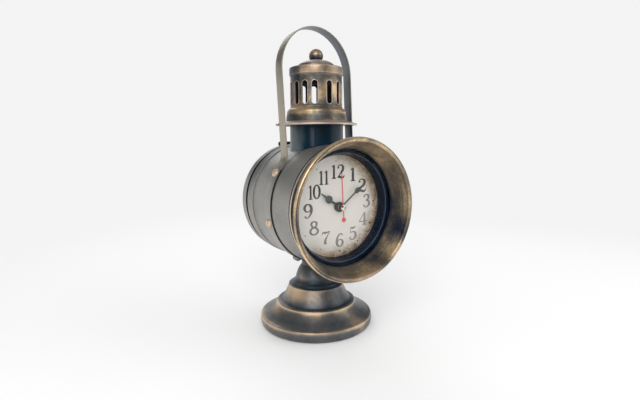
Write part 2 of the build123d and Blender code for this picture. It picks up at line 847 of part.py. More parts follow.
def door_knob():
    face = -(rim_rear - door_gap - door_thickness)
    knob = turned(
        (0, -door_thickness), (door_knob_neck / 2, -door_thickness), (door_knob_neck / 2, 0),
        (door_knob_neck, 0), (door_knob_neck, 0.8), (door_knob_neck * 0.7, 2.6, -0.5),
        (door_knob_radius, 4.0, -0.4), (door_knob_radius * 0.9, 5.6, 0.3),
        (0, door_knob_length, cap_bow(door_knob_radius * 0.9, door_knob_length - 5.6)))
    return Pos(0, face, barrel_axis - door_knob_drop) * Rot(-90, 0, 0) * knob


# Movement wheels

def across(x, y, distance, angle):
    return x + distance * cos(radians(angle)), y + distance * sin(radians(angle))


third_at = across(0, 0, third_distance, third_angle)
middle_at = across(0, 0, middle_distance, middle_angle)
rotor_at = across(*middle_at, rotor_distance, rotor_angle)
minute_at = across(0, 0, motion_distance, motion_angle)
knob_at = across(*minute_at, motion_distance, knob_angle)


def module_of(distance, teeth, other_teeth):
    return 2 * distance / (teeth + other_teeth)


def gear(teeth, module, low, high, phase):
    """A wheel with plain tapered teeth, one of them centred at the phase angle."""
    pitch = 360 / teeth
    root = module * (teeth / 2 - dedendum)
    tip = module * (teeth / 2 + addendum)
    corners = []
    for k in range(teeth):
        middle = phase + pitch * k
        for radius, turn in ((root, -tooth_root), (tip, -tooth_tip), (tip, tooth_tip), (root, tooth_root)):
            angle = radians(middle + turn * pitch)
            corners.append((radius * cos(angle), radius * sin(angle)))
    face = make_face(Polyline(*corners, close=True))
    return Pos(0, 0, low) * extrude(face, amount=high - low)


def mate_phase(teeth, phase, other_teeth, angle):
    """Phase of a wheel that meshes, at the angle of the line of centres, with one of known phase."""
    ahead = phase - angle
    return angle + 180 + 180 / other_teeth - ahead * teeth / other_teeth


third_module = module_of(third_distance, centre_teeth, third_pinion_teeth)
second_module = module_of(third_distance, third_teeth, second_pinion_teeth)
middle_module = module_of(middle_distance, second_teeth, middle_pinion_teeth)
rotor_module = module_of(rotor_distance, middle_teeth, rotor_teeth)
cannon_module = module_of(motion_distance, cannon_teeth, minute_teeth)
hour_module = module_of(motion_distance, minute_pinion_teeth, hour_teeth)
minute_phase = mate_phase(cannon_teeth, motion_angle, minute_teeth, motion_angle)


def pinion_span(gear_ahead):
    """A pinion's ends, a little past both faces of the wheel that it meshes with."""
    over = (pinion_depth - gear_depth) / 2
    return gear_ahead - over, gear_ahead + gear_depth + over


def second_wheel():
    low, high = pinion_span(third_gear_ahead)
    wheel = gear(second_teeth, middle_module, second_gear_ahead, second_gear_ahead + gear_depth, middle_angle)
    wheel += gear(second_pinion_teeth, second_module, low, high, third_angle)
    wheel += rod(second_shaft, cover_face + 0.4, second_hand_ahead + second_hand_thickness)
    return FRONT * wheel


def third_wheel():
    low, high = pinion_span(centre_gear_ahead)
    phase = mate_phase(second_pinion_teeth, third_angle, third_teeth, third_angle)
    wheel = gear(third_teeth, second_module, third_gear_ahead, third_gear_ahead + gear_depth, phase)
    wheel += gear(third_pinion_teeth, third_module, low, high, third_angle + 180)
    wheel += rod(arbor_radius, train_plate_ahead, case_floor - 2.0)
    return FRONT * Pos(*third_at, 0) * wheel


def centre_wheel():
    phase = mate_phase(third_pinion_teeth, third_angle + 180, centre_teeth, third_angle + 180)
    wheel = gear(centre_teeth, third_module, centre_gear_ahead, centre_gear_ahead + gear_depth, phase)
    return FRONT * (wheel - rod(hour_pipe - 0.1 + run_gap, 0, barrel_front))


def cannon_pinion():
    low, high = pinion_span(minute_gear_ahead)
    body = gear(cannon_teeth, cannon_module, low, high, motion_angle)
    body += rod(hour_pipe - 0.1, centre_gear_ahead - 0.4, low)
    body += rod(minute_pipe, high - 0.2, minute_hand_ahead + hand_thickness + 0.3)
    return FRONT * (body - rod(second_shaft + run_gap, 0, barrel_front + 10))


def minute_wheel():
    low, high = pinion_span(hour_gear_ahead)
    wheel = gear(minute_teeth, cannon_module, minute_gear_ahead, minute_gear_ahead + gear_depth, minute_phase)
    wheel += gear(minute_pinion_teeth, hour_module, minute_gear_ahead + gear_depth, high, motion_angle + 180)
    return FRONT * Pos(*minute_at, 0) * (wheel - rod(stout_arbor + run_gap, 0, barrel_front))


def hour_wheel():
    phase = mate_phase(minute_pinion_teeth, motion_angle + 180, hour_teeth, motion_angle + 180)
    low = hour_gear_ahead
    body = gear(hour_teeth, hour_module, low, low + gear_depth, phase)
    body += rod(hour_pipe, low, hour_hand_ahead + hand_thickness + 0.2)
    return FRONT * (body - rod(minute_pipe + run_gap, 0, barrel_front))


def intermediate_wheel():
    low, high = pinion_span(second_gear_ahead)
    phase = mate_phase(second_teeth, middle_angle, middle_pinion_teeth, middle_angle)
    wheel = gear(middle_teeth, rotor_module, middle_gear_ahead, middle_gear_ahead + gear_depth, rotor_angle)
    wheel += gear(middle_pinion_teeth, middle_module, low, train_plate_ahead - 0.1, phase)
    wheel += rod(arbor_radius, cover_face + 0.3, train_plate_ahead + train_plate_thickness)
    return FRONT * Pos(*middle_at, 0) * wheel


def rotor():
    low, high = pinion_span(middle_gear_ahead)
    phase = mate_phase(middle_teeth, rotor_angle, rotor_teeth, rotor_angle)
    body = gear(rotor_teeth, rotor_module, low, magnet_ahead, phase)
    body += rod(magnet_radius, magnet_ahead, magnet_ahead + magnet_length)
    body += rod(arbor_radius, cover_face + 0.3, train_plate_ahead + train_plate_thickness)
    return FRONT * Pos(*rotor_at, 0) * body


def set_knob():
    low, high = pinion_span(minute_gear_ahead)
    phase = mate_phase(minute_teeth, minute_phase, knob_teeth, knob_angle)
    knob_top = case_rear - knob_standoff
    knob_back = knob_top - knob_length
    body = gear(knob_teeth, cannon_module, low, high, phase)
    body += rod(knob_shaft, knob_top - 0.5, low)
    body += rod(arbor_radius, high, high + 1.2)
    grip = rod(knob_radius, knob_back, knob_top)
    for spot in PolarLocations(knob_radius + 0.25, knob_ribs):
        grip -= spot * rod(0.6, knob_back - 1, knob_top - 0.8)
    return FRONT * Pos(*knob_at, 0) * (body + grip)


# Movement body

def boss(at, bore, low, high, solid=False):
    outer = bore + boss_wall
    body = rod(outer, low, high, *at)
    return body if solid else body - rod(bore + run_gap, low - 1, high + 1, *at)


def bay_half_height():
    return battery_radius + bay_gap


def movement_case():
    half = case_size / 2
    inner = half - case_wall
    body = block((0, half), (0, half), 0, cover_face, case_front)
    body -= block((0, inner), (0, inner), 0, cover_face - 1, case_floor)
    rib_low = battery_y + bay_half_height()
    body += block((0, battery_length / 2), (rib_low + bay_rib / 2, bay_rib / 2), 0, cover_face, case_floor)
    body += rod(bush_radius, case_floor, case_front + bush_length)
    body -= rod(hour_pipe + run_gap, case_floor - 1, barrel_front)
    plate_front = train_plate_ahead + train_plate_thickness
    for x in (-pillar_x, pillar_x):
        for y in (pillar_low, pillar_high):
            body += rod(pillar_radius, plate_front, case_floor, x, y)
    low, high = pinion_span(centre_gear_ahead)
    body += boss(third_at, arbor_radius, high + 0.2, case_floor)
    low, high = pinion_span(minute_gear_ahead)
    body += boss(knob_at, arbor_radius, high + 0.2, case_floor)
    body += rod(stout_arbor, minute_gear_ahead - 0.2, case_floor, *minute_at)
    board_front = board_ahead + board_thickness
    for x in (-1, 1):
        spot = (board_middle[0] + x * (board_size[0] / 2 - 1.6), board_middle[1])
        body += rod(pillar_radius, board_front, case_floor, *spot)
    return FRONT * body


def movement_cover():
    half = case_size / 2
    cover = block((0, half), (0, half), 0, case_rear, cover_face)
    bay = block((0, battery_length / 2 + 1.6), (battery_y, bay_half_height()), 0, case_rear - 1, cover_face + 1)
    cover -= bay
    cover -= rod(knob_shaft + run_gap, case_rear - 1, cover_face + 1, *knob_at)
    cover += boss((0, 0), second_shaft, cover_face, second_gear_ahead - 0.3)
    cover += boss(middle_at, arbor_radius, cover_face, middle_gear_ahead - 0.2)
    low, high = pinion_span(middle_gear_ahead)
    cover += boss(rotor_at, arbor_radius, cover_face, low - 0.1)
    cover -= rod(second_shaft + run_gap, case_rear + 0.4, cover_face + 1)
    for at in (middle_at, rotor_at):
        cover -= rod(arbor_radius + run_gap, case_rear + 0.4, cover_face + 1, *at)
    return FRONT * cover


def train_plate():
    low = train_plate_ahead
    high = low + train_plate_thickness
    plate = block((0, train_plate_size[0] / 2), (train_plate_middle, train_plate_size[1] / 2), 0, low, high)
    plate -= rod(second_shaft + run_gap, low - 1, high + 1)
    for at in (third_at, middle_at, rotor_at):
        plate -= rod(arbor_radius + run_gap, low - 1, high + 1, *at)
    return FRONT * (plate - rod(knob_shaft + run_gap, low - 1, high + 1, *knob_at))


def movement_gasket():
    return FRONT * ring(bush_radius + slip_gap, gasket_radius, case_front, bezel_rear)


def hand_washer():
    return FRONT * ring(bush_radius, hand_washer_radius, dial_ahead, dial_ahead + hand_washer_thickness)


def hand_nut():
    low = dial_ahead + hand_washer_thickness
    nut = extrude(RegularPolygon(hand_nut_flats / 2, 6, major_radius=False), amount=hand_nut_height)
    return FRONT * (Pos(0, 0, low) * nut - rod(bush_radius, 0, barrel_front))


def stator():
    """A flat plate round the rotor with two arms up to the coil's core."""
    low = stator_ahead
    high = low + stator_thickness
    x, y = rotor_at
    arm = stator_arm / 2
    half = core_length / 2
    left = coil_middle - half
    right = coil_middle + half
    heart = stator_hole + 2.2
    top = coil_y + core_width / 2
    shelf = y + heart - arm
    plate = block((x, heart), (y, heart), 0, low, high)
    plate += block(((x + right) / 2, (right - x) / 2), (y + heart - arm, arm), 0, low, high)
    plate += block((right - arm, arm), ((shelf + top) / 2, (top - shelf) / 2 + 0.01), 0, low, high)
    plate += block(((left + x) / 2, (x - left) / 2), (shelf, arm), 0, low, high)
    plate += block((left + arm, arm), ((shelf + top) / 2, (top - shelf) / 2 + 0.01), 0, low, high)
    plate += block((coil_middle, half), (coil_y, core_width / 2), 0, low, high)
    plate -= rod(stator_hole, low - 1, high + 1, x, y)
    return FRONT * plate


def coil_bar(radius, length, x=0):
    middle = stator_ahead + stator_thickness / 2
    return Pos(coil_middle + x, coil_y, middle) * Rot(0, 90, 0) * Cylinder(radius, length)


def coil():
    core = block((coil_middle, core_length), (coil_y, core_width / 2 + slip_gap), 0,
                 stator_ahead - slip_gap, stator_ahead + stator_thickness + slip_gap)
    return FRONT * (coil_bar(coil_radius, coil_length) - core)


def coil_bobbin():
    core = block((coil_middle, core_length), (coil_y, core_width / 2 + slip_gap), 0,
                 stator_ahead - slip_gap, stator_ahead + stator_thickness + slip_gap)
    shift = (coil_length + cheek_thickness) / 2
    cheeks = [coil_bar(cheek_radius, cheek_thickness, side * shift) - core for side in (-1, 1)]
    return FRONT * Compound(cheeks)


def circuit_board():
    low = board_ahead
    high = low + board_thickness
    board = block((board_middle[0], board_size[0] / 2), (board_middle[1], board_size[1] / 2), 0, low, high)
    chip = turned((0, high), (chip_radius, high), (0, high + chip_height, cap_bow(chip_radius, chip_height)))
    return FRONT * (board + Pos(*board_middle, 0) * chip)


def battery():
    half = battery_length / 2
    body = revolve(Plane.XZ * outline(
        (0, -half), (battery_radius - 0.4, -half), (battery_radius, -half + 0.4),
        (battery_radius, half - battery_nub_length - 0.6),
        (battery_radius - 0.6, half - battery_nub_length), (battery_nub_radius, half - battery_nub_length),
        (battery_nub_radius, half - 0.2), (battery_nub_radius - 0.2, half), (0, half)), Axis.Z)
    return FRONT * Pos(0, battery_y, battery_ahead) * Rot(0, 90, 0) * body


def contact(side):
    """A sprung plate at one end of the battery, with a strip up to the circuit board."""
    wall = case_size / 2 - case_wall
    outer = side * (wall - contact_thickness / 2)
    plate = block((outer, contact_thickness / 2), (battery_y, contact_width / 2), 0,
                  battery_ahead - 5, battery_ahead + 5)
    strip_low = battery_y + contact_width / 2
    strip_high = board_middle[1]
    plate += block((outer, contact_thickness / 2), ((strip_low + strip_high) / 2, (strip_high - strip_low) / 2),
                   0, board_ahead - contact_tail, board_ahead)
    half = battery_length / 2
    gap = wall - contact_thickness - half
    bump = Cone(4.0, 2.2, gap, align=(Align.CENTER, Align.CENTER, Align.MIN))
    if side > 0:
        bump = Cone(2.6, 1.8, gap, align=(Align.CENTER, Align.CENTER, Align.MIN))
    spot = Pos(side * (wall - contact_thickness), battery_y, battery_ahead)
    return FRONT * (plate + spot * Rot(0, -90 * side, 0) * bump)


# Hands

def clockwise(angle, shape):
    return Rot(0, 0, -angle) * shape


def hour_hand():
    low = hour_hand_ahead
    face = Circle(hour_hub_radius) + Pos(0, hour_blob_reach) * Ellipse(hour_blob_radius * 0.92, hour_blob_radius)
    face += Pos(0, hour_blob_reach / 2) * Rectangle(2 * hand_stem, hour_blob_reach)
    tip_low = hour_blob_reach + hour_blob_radius * 0.6
    face += make_face(Polyline((-hand_stem * 0.9, tip_low), (hand_stem * 0.9, tip_low),
                               (0.45, hour_tip_reach), (-0.45, hour_tip_reach), close=True))
    hand = Pos(0, 0, low) * extrude(face, amount=hand_thickness) - rod(hour_pipe, 0, barrel_front)
    return FRONT * clockwise(hour_angle, hand)


def minute_hand():
    low = minute_hand_ahead
    face = Circle(minute_hub_radius)
    face += Pos(0, minute_blob_reach / 2) * Rectangle(hand_stem * 1.3, minute_blob_reach)
    face += Pos(0, minute_blob_reach) * Ellipse(minute_blob_radius * 0.85, minute_blob_radius * 1.25)
    tip_low = minute_blob_reach + minute_blob_radius * 0.8
    face += make_face(Polyline((-hand_stem * 0.8, tip_low), (hand_stem * 0.8, tip_low),
                               (0.2, minute_tip_reach), (-0.2, minute_tip_reach), close=True))
    hand = Pos(0, 0, low) * extrude(face, amount=hand_thickness) - rod(minute_pipe, 0, barrel_front)
    return FRONT * clockwise(minute_angle, hand)


def second_hand():
    low = second_hand_ahead
    face = Circle(second_socket_radius + 0.6)
    face += Pos(0, (second_tip_reach - second_tail_reach) / 2) * Rectangle(
        second_hand_width, second_tip_reach + second_tail_reach)
    face += Pos(0, -second_tail_reach) * Circle(second_tail_radius)
    hand = Pos(0, 0, low) * extrude(face, amount=second_hand_thickness)
    hand += rod(second_socket_radius, low - second_socket_length, low)
    hand -= rod(second_shaft, 0, barrel_front)
    return FRONT * clockwise(second_angle, hand)


def hand_cap():
    low = second_hand_ahead + second_hand_thickness
    rise = cap_height - 0.15
    return FRONT * turned((0, low), (cap_radius, low), (cap_radius, low + 0.15),
                          (0, low + cap_height, cap_bow(cap_radius, rise)))


def positive_contact():
    return contact(1)


def negative_contact():
    return contact(-1)


PIECES = {
    "pedestal": pedestal,
    "base_plate": base_plate,
    "base_pad": base_pad,
    "saddle_shim": saddle_shim,
    "bolt_saddle": bolt_saddle,
    "stand_bolt": stand_bolt,
    "stand_nut": stand_nut,
    "barrel": barrel,
    "rear_collar": rear_collar,
    "rear_rim": rear_rim,
    "bell": bell,
    "bezel_ring": bezel_ring,
    "lens": lens,
    "dial": dial,
    "dial_retainer": dial_retainer,
    "retainer_screws": retainer_screws,
    "neck_tube": neck_tube,
    "brim": brim,
    "vent_body": vent_body,
    "crown_cap": crown_cap,
    "finial": finial,
    "finial_nut": finial_nut,
    "handle_strap": handle_strap,
    "strap_rivets": strap_rivets,
    "rear_door": rear_door,
    "rim_hinge_leaf": rim_hinge_leaf,
    "rim_hinge_rivets": rim_hinge_rivets,
    "door_hinge_leaf": door_hinge_leaf,
    "door_hinge_rivets": door_hinge_rivets,
    "hinge_pin": hinge_pin,
    "door_knob": door_knob,
    "movement_case": movement_case,
    "movement_cover": movement_cover,
    "train_plate": train_plate,
    "movement_gasket": movement_gasket,
    "hand_washer": hand_washer,
    "hand_nut": hand_nut,
    "stator": stator,
    "coil": coil,
    "coil_bobbin": coil_bobbin,
    "circuit_board": circuit_board,
    "battery": battery,
    "positive_contact": positive_contact,
    "negative_contact": negative_contact,
    "rotor": rotor,
    "intermediate_wheel": intermediate_wheel,
    "second_wheel": second_wheel,
    "third_wheel": third_wheel,
    "centre_wheel": centre_wheel,
    "cannon_pinion": cannon_pinion,
    "minute_wheel": minute_wheel,
    "hour_wheel": hour_wheel,
    "set_knob": set_knob,
    "hour_hand": hour_hand,
    "minute_hand": minute_hand,
    "second_hand": second_hand,
    "hand_cap": hand_cap,
}

for name, make in PIECES.items():
    save(make(), name)
    print(name)
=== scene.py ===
import bpy
import math
from mathutils import Matrix, Vector


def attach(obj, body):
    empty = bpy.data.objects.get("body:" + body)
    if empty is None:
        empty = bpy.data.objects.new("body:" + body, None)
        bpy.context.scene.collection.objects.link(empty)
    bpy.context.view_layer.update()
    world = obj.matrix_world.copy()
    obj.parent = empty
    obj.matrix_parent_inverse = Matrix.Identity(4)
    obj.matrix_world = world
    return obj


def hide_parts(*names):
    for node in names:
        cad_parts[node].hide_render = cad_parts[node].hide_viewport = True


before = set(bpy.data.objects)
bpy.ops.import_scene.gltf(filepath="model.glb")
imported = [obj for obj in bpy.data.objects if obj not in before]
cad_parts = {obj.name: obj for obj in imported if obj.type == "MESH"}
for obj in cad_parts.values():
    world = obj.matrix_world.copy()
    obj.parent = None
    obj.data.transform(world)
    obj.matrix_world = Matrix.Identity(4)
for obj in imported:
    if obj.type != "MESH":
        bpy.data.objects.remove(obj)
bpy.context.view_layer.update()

mm = 0.001
barrelAxis = 112.8      # height of the barrel's axis above the table
barrelRadius = 52.1
chimneyY = -3.0         # the chimney stands a little ahead of the stand's axis

# places that a finished piece can be put in: upright, on the chimney, or along the barrel
upright = Matrix()
onChimney = Matrix.Translation((0, chimneyY * mm, 0))
alongBarrel = Matrix.Translation((0, 0, barrelAxis * mm)) @ Matrix.Rotation(math.pi / 2, 4, "X")


# small helpers for edit mode and modifiers

def dropSelection():
    if bpy.context.object and bpy.context.object.mode != "OBJECT":
        bpy.ops.object.mode_set(mode="OBJECT")
    bpy.ops.object.select_all(action="DESELECT")


def onlySelect(*pieces):
    dropSelection()
    for piece in pieces:
        piece.select_set(True)
    bpy.context.view_layer.objects.active = pieces[0]


def editAll(piece):
    # into edit mode with everything selected
    onlySelect(piece)
    bpy.ops.object.mode_set(mode="EDIT")
    bpy.ops.mesh.select_all(action="SELECT")


def faceOut():
    # turn every face outwards, and leave edit mode
    bpy.ops.mesh.select_all(action="SELECT")
    bpy.ops.mesh.normals_make_consistent(inside=False)
    bpy.ops.object.mode_set(mode="OBJECT")


def useModifier(piece, kind, **values):
    modifier = piece.modifiers.new("Shape", kind)
    for key, value in values.items():
        setattr(modifier, key, value)
    onlySelect(piece)
    bpy.ops.object.modifier_apply(modifier=modifier.name)


def softenEdges(piece, width, segments=2, angle=38):
    useModifier(piece, "BEVEL", width=width * mm, segments=segments, limit_method="ANGLE",
                angle_limit=math.radians(angle))


def shadeSmooth(piece, angle=35):
    onlySelect(piece)
    bpy.ops.object.shade_smooth_by_angle(angle=math.radians(angle))


def putAt(piece, place):
    piece.matrix_world = place @ piece.matrix_world
    onlySelect(piece)
    bpy.ops.object.transform_apply(location=True, rotation=True, scale=True)


def copyOf(piece, name, place):
    onlySelect(piece)
    bpy.ops.object.duplicate(linked=False)
    twin = bpy.context.object
    twin.name = name
    putAt(twin, place)
    return twin


def joinAll(pieces):
    onlySelect(*pieces)
    bpy.ops.object.join()
    return pieces[0]


def cutWith(piece, cutter):
    useModifier(piece, "BOOLEAN", object=cutter, operation="DIFFERENCE", solver="EXACT")
    bpy.data.objects.remove(cutter)


def finish(piece, node, material, body="clock_body"):
    piece.data.materials.clear()
    piece.data.materials.append(material)
    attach(piece, body)
    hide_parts(node)


def paintFaces(piece, materials, choose):
    # adds materials, and gives each face the number that choose returns for it
    for material in materials:
        piece.data.materials.append(material)
    for face in piece.data.polygons:
        face.material_index = choose(face)


def fromAxis(face):
    # how far a face's middle lies from the barrel's axis, in metres
    return math.hypot(face.center.x, face.center.z - barrelAxis * mm)


def arcSteps(start, end, bow, steps=8):
    # an arc bowed to the right of travel, in the outline's own plane
    if not bow:
        return [tuple(end)]
    start, end = Vector(start), Vector(end)
    travel = end - start
    half = travel.length / 2
    radius = (half * half + bow * bow) / (2 * abs(bow))
    side = 1 if bow > 0 else -1
    right = Vector((travel.y, -travel.x)) / travel.length
    centre = (start + end) / 2 - right * side * (radius - abs(bow))
    turn = side * 2 * math.asin(min(1, half / radius))
    arm = start - centre
    return [tuple(centre + Matrix.Rotation(turn * k / steps, 2) @ arm) for k in range(1, steps + 1)]


def drawWire(name, points):
    # a wire drawn vertex by vertex through points in metres
    dropSelection()
    bpy.ops.mesh.primitive_plane_add(size=mm, location=points[0])
    wire = bpy.context.object
    wire.name = name
    bpy.ops.object.transform_apply(location=True)
    editAll(wire)
    bpy.ops.mesh.merge(type="CENTER")
    for start, end in zip(points, points[1:]):
        step = Vector(end) - Vector(start)
        bpy.ops.mesh.extrude_region_move(TRANSFORM_OT_translate={"value": step})
    bpy.ops.object.mode_set(mode="OBJECT")
    return wire


def spunPiece(name, outline, place=upright, segments=128, edge=0.15):
    # outline points are (radius, height) or (radius, height, bow) in mm, walked round counterclockwise;
    # one that begins and ends on the axis stays open there
    closed = outline[0][0] > 0 or outline[-1][0] > 0
    corner = outline[-1 if closed else 0][:2]
    path = [corner]
    for point in outline if closed else outline[1:]:
        path += arcSteps(corner, point[:2], point[2] if len(point) == 3 else 0)
        corner = point[:2]
    piece = drawWire(name, [(r * mm, 0, z * mm) for r, z in path])
    editAll(piece)
    if closed:
        bpy.ops.mesh.remove_doubles(threshold=1e-7)
    bpy.ops.mesh.spin(steps=segments, angle=2 * math.pi, center=(0, 0, 0), axis=(0, 0, 1))
    bpy.ops.mesh.select_all(action="SELECT")
    bpy.ops.mesh.remove_doubles(threshold=1e-6)
    bpy.ops.mesh.dissolve_degenerate(threshold=1e-7)
    faceOut()
    putAt(piece, place)
    if edge:
        softenEdges(piece, edge)
    shadeSmooth(piece)
    return piece


# finishes

def newMaterial(name):
    # the material, its nodes, its shader, and the place on the piece that patterns read
    material = bpy.data.materials.new(name)
    material.use_nodes = True
    tree = material.node_tree
    place = addNode(tree, "ShaderNodeTexCoord").outputs["Object"]
    return material, tree, tree.nodes["Principled BSDF"], place


def setSockets(tree, node, values):
    # a socket takes a plain value, or a link from another node
    for key, value in values.items():
        if hasattr(value, "links"):
            tree.links.new(value, node.inputs[key])
        elif value is not None:
            node.inputs[key].default_value = value


def addNode(tree, kind, values=None, **settings):
    node = tree.nodes.new(kind)
    for key, value in settings.items():
        setattr(node, key, value)
    setSockets(tree, node, values or {})
    return node


def mathNode(tree, operation, first, second=None, clamp=False):
    values = {0: first, 1: second}
    return addNode(tree, "ShaderNodeMath", values, operation=operation, use_clamp=clamp).outputs[0]


def swing(tree, factor, reach):
    # a factor from 0 to 1, turned into plus or minus half the reach
    return mathNode(tree, "MULTIPLY", mathNode(tree, "SUBTRACT", factor, 0.5), reach)


def noiseAt(tree, vector, scale, detail=3, roughness=0.6, stretch=None, distortion=0):
    if stretch:
        vector = addNode(tree, "ShaderNodeMapping", {"Vector": vector, "Scale": stretch}).outputs[0]
    return addNode(tree, "ShaderNodeTexNoise", {
        "Vector": vector, "Scale": scale, "Detail": detail, "Roughness": roughness,
        "Distortion": distortion}).outputs["Fac"]


def rampNode(tree, factor, stops):
    ramp = addNode(tree, "ShaderNodeValToRGB", {0: factor})
    elements = ramp.color_ramp.elements
    while len(elements) < len(stops):
        elements.new(0.5)
    for element, (spot, colour) in zip(elements, stops):
        element.position = spot
        element.color = (*colour, 1)
    return ramp.outputs[0]


def mixColours(tree, factor, first, second):
    values = {0: factor, 6: (*first, 1), 7: (*second, 1)}
    return addNode(tree, "ShaderNodeMix", values, data_type="RGBA").outputs[2]


def axesOf(tree, place):
    return addNode(tree, "ShaderNodeSeparateXYZ", {0: place}).outputs


def spread(tree, place, axis):
    # distance along or from an axis, in mm: "height", "barrel" radius or "ahead" along the barrel
    x, y, z = axesOf(tree, place)
    if axis == "height":
        return mathNode(tree, "MULTIPLY", z, 1000)
    if axis == "ahead":
        return mathNode(tree, "MULTIPLY", y, -1000)
    low = mathNode(tree, "POWER", mathNode(tree, "SUBTRACT", z, barrelAxis * mm), 2)
    away = mathNode(tree, "SQRT", mathNode(tree, "ADD", low, mathNode(tree, "POWER", x, 2)))
    return mathNode(tree, "MULTIPLY", away, 1000)


def roughAndBump(tree, shader, factor, rough, height, bump, depth):
    # roughness between two values by a factor, and a fine bump
    reach = addNode(tree, "ShaderNodeMapRange", {"Value": factor, "To Min": rough[0], "To Max": rough[1]})
    relief = addNode(tree, "ShaderNodeBump", {"Strength": bump, "Distance": depth, "Height": height})
    setSockets(tree, shader, {"Roughness": reach.outputs[0], "Normal": relief.outputs[0]})


def agedMetal(name, look):
    # two-tone worn metal: a dark burnish over a bright ground, rubbed through in patches; its bands, lit side
    # and spots add painted highlights, painted shade and painted reflections, and some wear
    material, tree, shader, place = newMaterial(name)
    patches = noiseAt(tree, place, look["patchScale"], detail=4, distortion=0.3)
    grain = noiseAt(tree, place, look["grainScale"], detail=2, stretch=look.get("grainStretch"))
    wearAndLight = mathNode(tree, "ADD", swing(tree, patches, look["patchiness"]), look["wearAndLight"])
    wearAndLightShares = [swing(tree, grain, look["graininess"])]
    # bands along an axis: painted highlight lines and painted shade in grooves, on some pieces also wear at
    # edges
    if "bands" in look:
        low, high = look["bandRange"]
        along = mathNode(tree, "SUBTRACT", spread(tree, place, look["bandAxis"]), low)
        stops = [((spot - low) / (high - low), (value,) * 3) for spot, value in look["bands"]]
        band = rampNode(tree, mathNode(tree, "DIVIDE", along, high - low), stops)
        wearAndLightShares.append(mathNode(tree, "SUBTRACT", band, 0.5))
    if "litSide" in look:
        # painted light: brighter towards one side, the side the light falls on, by how far a point lies that
        # way in mm
        along, middle, reach, gain = look["litSide"]
        dot = addNode(tree, "ShaderNodeVectorMath", {0: place, 1: along}, operation="DOT_PRODUCT")
        lean = mathNode(tree, "SUBTRACT", dot.outputs["Value"], middle * mm)
        wearAndLightShares.append(mathNode(tree, "MULTIPLY", lean, 1000 * gain / reach))
    for spot, reach, gain in look.get("spots", []):
        # a place in mm painted brighter or darker: painted light, painted shade and painted reflections, and
        # some wear
        spot = [c * mm for c in spot]
        gap = addNode(tree, "ShaderNodeVectorMath", {0: place, 1: spot}, operation="DISTANCE")
        share = mathNode(tree, "DIVIDE", gap.outputs["Value"], reach * mm)
        wearAndLightShares.append(mathNode(tree, "MULTIPLY", mathNode(tree, "SUBTRACT", 1, share, clamp=True), gain))
    if "rings" in look:
        # fine turning marks round the barrel's axis
        scale, gain = look["rings"]
        values = {"W": spread(tree, place, "barrel"), "Scale": scale, "Detail": 3}
        marks = addNode(tree, "ShaderNodeTexNoise", values, noise_dimensions="1D")
        wearAndLightShares.append(swing(tree, marks.outputs["Fac"], gain))
    for share in wearAndLightShares:
        wearAndLight = mathNode(tree, "ADD", wearAndLight, share)
    wearAndLight = mathNode(tree, "ADD", wearAndLight, 0, clamp=True)
    colour = rampNode(tree, wearAndLight, [(0.0, look["dark"]), (0.5, look["middle"]), (1.0, look["bright"])])
    setSockets(tree, shader, {"Base Color": colour, "Metallic": look["metallic"],
                              "Specular IOR Level": look.get("specular", 0.5)})
    roughAndBump(tree, shader, wearAndLight, look["rough"], grain, look["bump"], 0.0002)
    return material


def plainSkin(name, look):
    # plastic, paint, rubber or small metal: one colour that wanders a little, with a fine grain
    material, tree, shader, place = newMaterial(name)
    wander = noiseAt(tree, place, look.get("scale", 180))
    dark = [c * look.get("dip", 0.8) for c in look["colour"]]
    setSockets(tree, shader, {"Base Color": mixColours(tree, wander, dark, look["colour"]),
                              "Metallic": look.get("metallic", 0)})
    rough = (look["rough"] * 0.85, look["rough"] * 1.15)
    grain = noiseAt(tree, place, 2600, detail=1)
    roughAndBump(tree, shader, wander, rough, grain, look.get("bump", 0.1), 0.0001)
    return material


# pewter is painted lighter towards the lower left: painted light from the left and below
pewterLook = {
    "dark": (0.15, 0.16, 0.162), "middle": (0.27, 0.265, 0.25), "bright": (0.44, 0.41, 0.365),
    "patchScale": 16, "grainScale": 900, "patchiness": 1.0, "graininess": 0.2, "wearAndLight": 0.5,
    "grainStretch": (1, 0.15, 1), "rough": (0.44, 0.4), "metallic": 0.65, "bump": 0.06,
    "litSide": ((-0.5, 0, -0.85), -84, 56, 0.3),
}
# the barrel carries a painted shadow line just ahead of the strap's front edge, from 15.2 to 16.1 mm ahead,
# and a brighter line just behind the bell's skirt
barrelLook = {
    **pewterLook, "dark": (0.02, 0.022, 0.03), "wearAndLight": 0.47, "litSide": ((-0.5, 0, -0.85), -84, 56, 0.1),
    "spots": [((-20, 0, 160), 34, 0.5), ((-38, -38, 140), 26, 0.25)],
    "bandAxis": "ahead", "bandRange": (-33, 47),
    "bands": [(-33, 0.5), (14.9, 0.5), (15.2, 0.0), (16.1, 0.0), (17.2, 0.5), (42.6, 0.5), (43.4, 0.9),
              (44.2, 0.5), (47, 0.5)],
}
# the groove between the rim and the collar, ahead of -37.25 mm, is painted near black: painted shadow
rimLook = {
    **pewterLook, "dark": (0.006, 0.006, 0.007), "wearAndLight": 0.1, "patchiness": 0.5,
    "bandAxis": "ahead", "bandRange": (-46, -26),
    "bands": [(-46, 0.97), (-37.6, 0.97), (-37.25, 0.0), (-26, 0.0)],
}
strapLook = {
    "dark": (0.17, 0.15, 0.125), "middle": (0.3, 0.265, 0.22), "bright": (0.42, 0.365, 0.295),
    "patchScale": 25, "grainScale": 1200, "patchiness": 0.8, "graininess": 0.25, "wearAndLight": 0.5,
    "rough": (0.4, 0.36), "metallic": 0.7, "bump": 0.06,
    "spots": [((0, -8, 265), 40, 0.4), ((-35, -12, 175), 50, 0.4)],
}
strapInsideLook = {
    **strapLook, "dark": (0.09, 0.1, 0.11), "middle": (0.16, 0.175, 0.19), "bright": (0.25, 0.265, 0.275),
    "spots": [],
}
